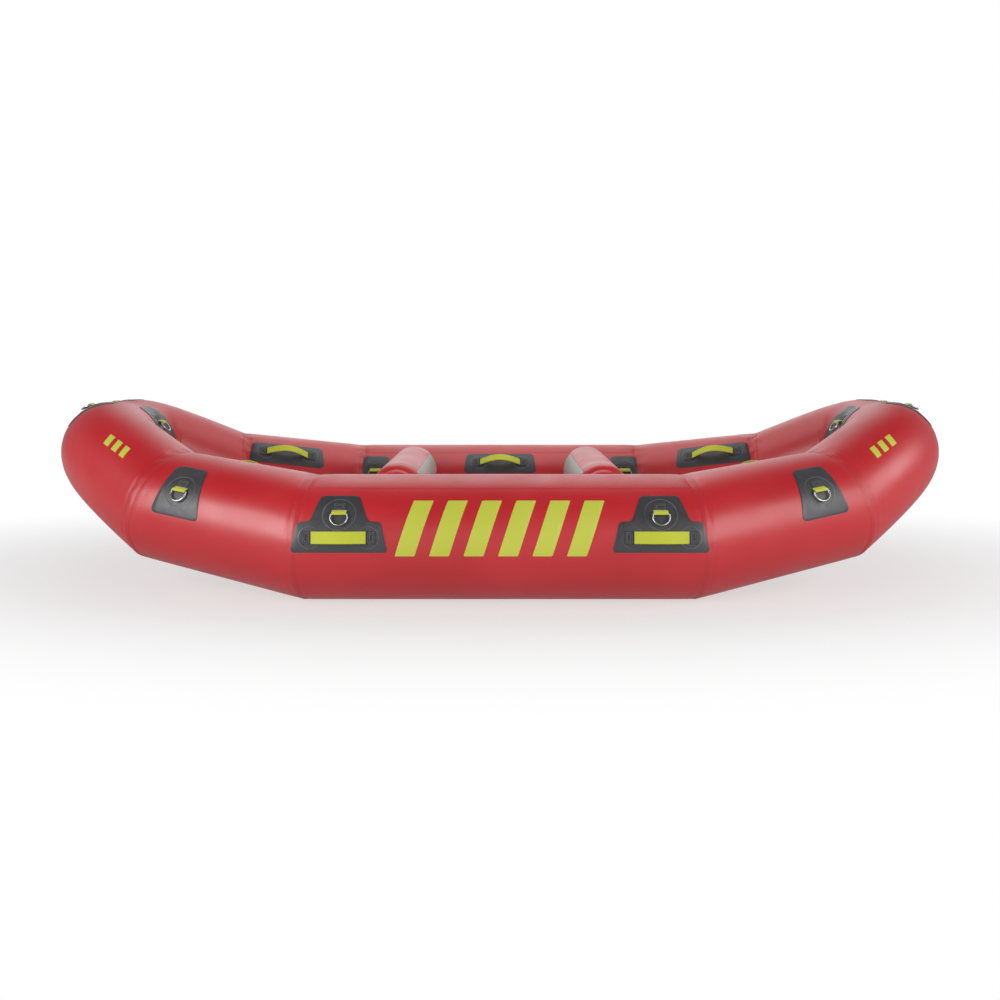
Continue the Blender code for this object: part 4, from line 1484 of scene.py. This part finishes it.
# %% Inflate the floor
bpy.ops.mesh.primitive_grid_add(x_subdivisions=FLOOR_ROWS, y_subdivisions=FLOOR_AROUND, size=1)
floor_skin = start("floor_skin", GREY)
for vertex in floor_skin.data.vertices:
    vertex.co = (vertex.co.x * 2 * FLOOR_END_S, vertex.co.y + 0.5, 0)
keep_cut(floor_skin)
row_length = 2 * FLOOR_END_S / FLOOR_ROWS
round_length = row_length * FLOOR_ROUND_ROWS
for vertex in floor_skin.data.vertices:
    s, turn, _ = vertex.co
    edge = floor_edge(s)
    slope = floor_edge(s + 0.01) - floor_edge(s - 0.01)
    normal = Vector((-slope.z, 0, slope.x)).normalized()
    to_end = min(1.0, (FLOOR_END_S - abs(s)) / round_length)
    swell = sqrt(max(0.0, 1 - (1 - to_end) ** 2))
    width = abs(edge.y) * (1 - END_NARROWING * (1 - swell))
    y, z = floor_outline(turn, width, END_T_SHARE + (1 - END_T_SHARE) * swell)
    vertex.co = Vector((edge.x, y, edge.z)) + normal * z
edit(floor_skin)
bpy.ops.mesh.remove_doubles(threshold=MERGE_GAP)
bpy.ops.mesh.select_all(action="DESELECT")
bpy.ops.mesh.select_non_manifold()
bpy.ops.mesh.fill()
bpy.ops.mesh.select_all(action="SELECT")
bpy.ops.mesh.normals_make_consistent(inside=False)
done()
finish_shape(floor_skin, 50)
ride(floor_skin, "raft", ["floor"])
print("floor with", FLOOR_RIBS, "ribs,", len(floor_skin.data.polygons), "faces")

# %% [markdown]
# ## Valves
#
# Four valves fill the tube's chambers and one fills each thwart. The body is a flange clamped to a
# rubber boot, and its cap screws off, so the cap has a knurled side. It is turned from a cylinder
# by insets and extrusions, which keep it one closed form; stacked cylinders would only touch.

# %% Turn a valve
VALVE_R = 0.032
VALVE_CAP_R = 0.021
FLANGE_T = 0.005
CAP_T = 0.014
GROOVE_W = 0.0015           # between the cap and its flange
GROOVE_DEPTH = 0.002
CAP_RIM = 0.0045
DISH_DEPTH = 0.0022
DISH_W = 0.008
STEP_SLOPE = 0.0006         # how far a step in the cap leans
VALVE_SIDES = 72
KNURL_EVERY = 3             # sides from one groove of the cap to the next
KNURL_DEPTH = 0.0009
KNURL_FROM_R = 0.018        # only the cap's outer side is knurled


def turn_valve():
    """Valve on the origin, pointing up z: flange, groove, knurled cap, dish and button."""
    bpy.ops.mesh.primitive_cylinder_add(vertices=VALVE_SIDES, radius=VALVE_R, depth=FLANGE_T,
                                        location=(0, 0, FLANGE_T / 2))
    piece = start("valve", BLACK)
    bpy.ops.object.transform_apply()
    edit(piece)
    pick_faces(piece, lambda face: face.normal.z > 0.9)
    bpy.ops.mesh.inset(thickness=VALVE_R - VALVE_CAP_R - GROOVE_W)
    bpy.ops.mesh.inset(thickness=0.0004, depth=-GROOVE_DEPTH)
    bpy.ops.mesh.inset(thickness=GROOVE_W - 0.0004)
    bpy.ops.mesh.extrude_region_move(TRANSFORM_OT_translate={"value": (0, 0, CAP_T + GROOVE_DEPTH)})
    bpy.ops.mesh.inset(thickness=CAP_RIM)
    bpy.ops.mesh.inset(thickness=STEP_SLOPE, depth=-DISH_DEPTH)
    bpy.ops.mesh.inset(thickness=DISH_W)
    bpy.ops.mesh.inset(thickness=STEP_SLOPE, depth=DISH_DEPTH)

    def knurl(face):
        middle = face.calc_center_median()
        turn = round(degrees(atan2(middle.y, middle.x)) * VALVE_SIDES / 360 - 0.5)
        on_side = abs(face.normal.z) < 0.1 and middle.z > FLANGE_T and middle.xy.length > KNURL_FROM_R
        return on_side and turn % KNURL_EVERY == 0

    pick_faces(piece, knurl)
    bpy.ops.mesh.inset(thickness=0.0002, depth=-KNURL_DEPTH, use_individual=True)
    done()
    apply(piece, "BEVEL", width=0.0004, segments=2, limit_method="ANGLE", angle_limit=radians(40))
    finish_shape(piece, 35)
    return piece


valve = turn_valve()
print("valve with", len(valve.data.polygons), "faces")

# %% Set the valves
VALVE_S = 0.930
VALVE_ANGLE = 180
THWART_VALVE_Y = 0.25
BOOT_R = 0.050
BOOT_TOP = 0.0026           # above the tube
quarter_valve = copy_of(valve, "quarter_valve", matrix=grip_seat(VALVE_S, VALVE_ANGLE))
finish_shape(quarter_valve, 35)
spread(quarter_valve, "valve_body", QUARTERS, "valve")
boot = raised_disc("boot", BOOT_R, 0, 0)
lay(boot, glued(VALVE_S, VALVE_ANGLE, BOOT_TOP))
spread(boot, "valve_boot", QUARTERS, None)


def on_thwart(x, end):
    """Place function that lays a flat cut on a thwart's side, round its valve."""
    def place(u, v, z):
        a = v / THWART_R
        r = THWART_R + z
        return Vector((x + end * r * cos(a), THWART_VALVE_Y - end * u, THWART_Z - r * sin(a)))

    return place


for end_name, end in (("fore", 1), ("aft", -1)):
    middle = Matrix.Translation((THWART_X * end, THWART_VALVE_Y, THWART_Z))
    seat = middle @ Matrix.Rotation(pi / 2 * end, 4, "Y") @ Matrix.Translation((0, 0, THWART_R))
    body = copy_of(valve, f"valve_body_thwart_{end_name}", matrix=seat)
    finish_shape(body, 35)
    ride(body, "raft", [f"valve_thwart_{end_name}"])
    boot = raised_disc(f"valve_boot_thwart_{end_name}", BOOT_R, 0, 0)
    lay(boot, on_thwart(THWART_X * end, end))
    ride(boot, "raft")
bpy.data.objects.remove(valve)
print(len(QUARTERS) + 2, "valves with", VALVE_SIDES // KNURL_EVERY, "grips each")

# %% [markdown]
# ## The frame's box
#
# The dressed raft has to stay in the frame's box.
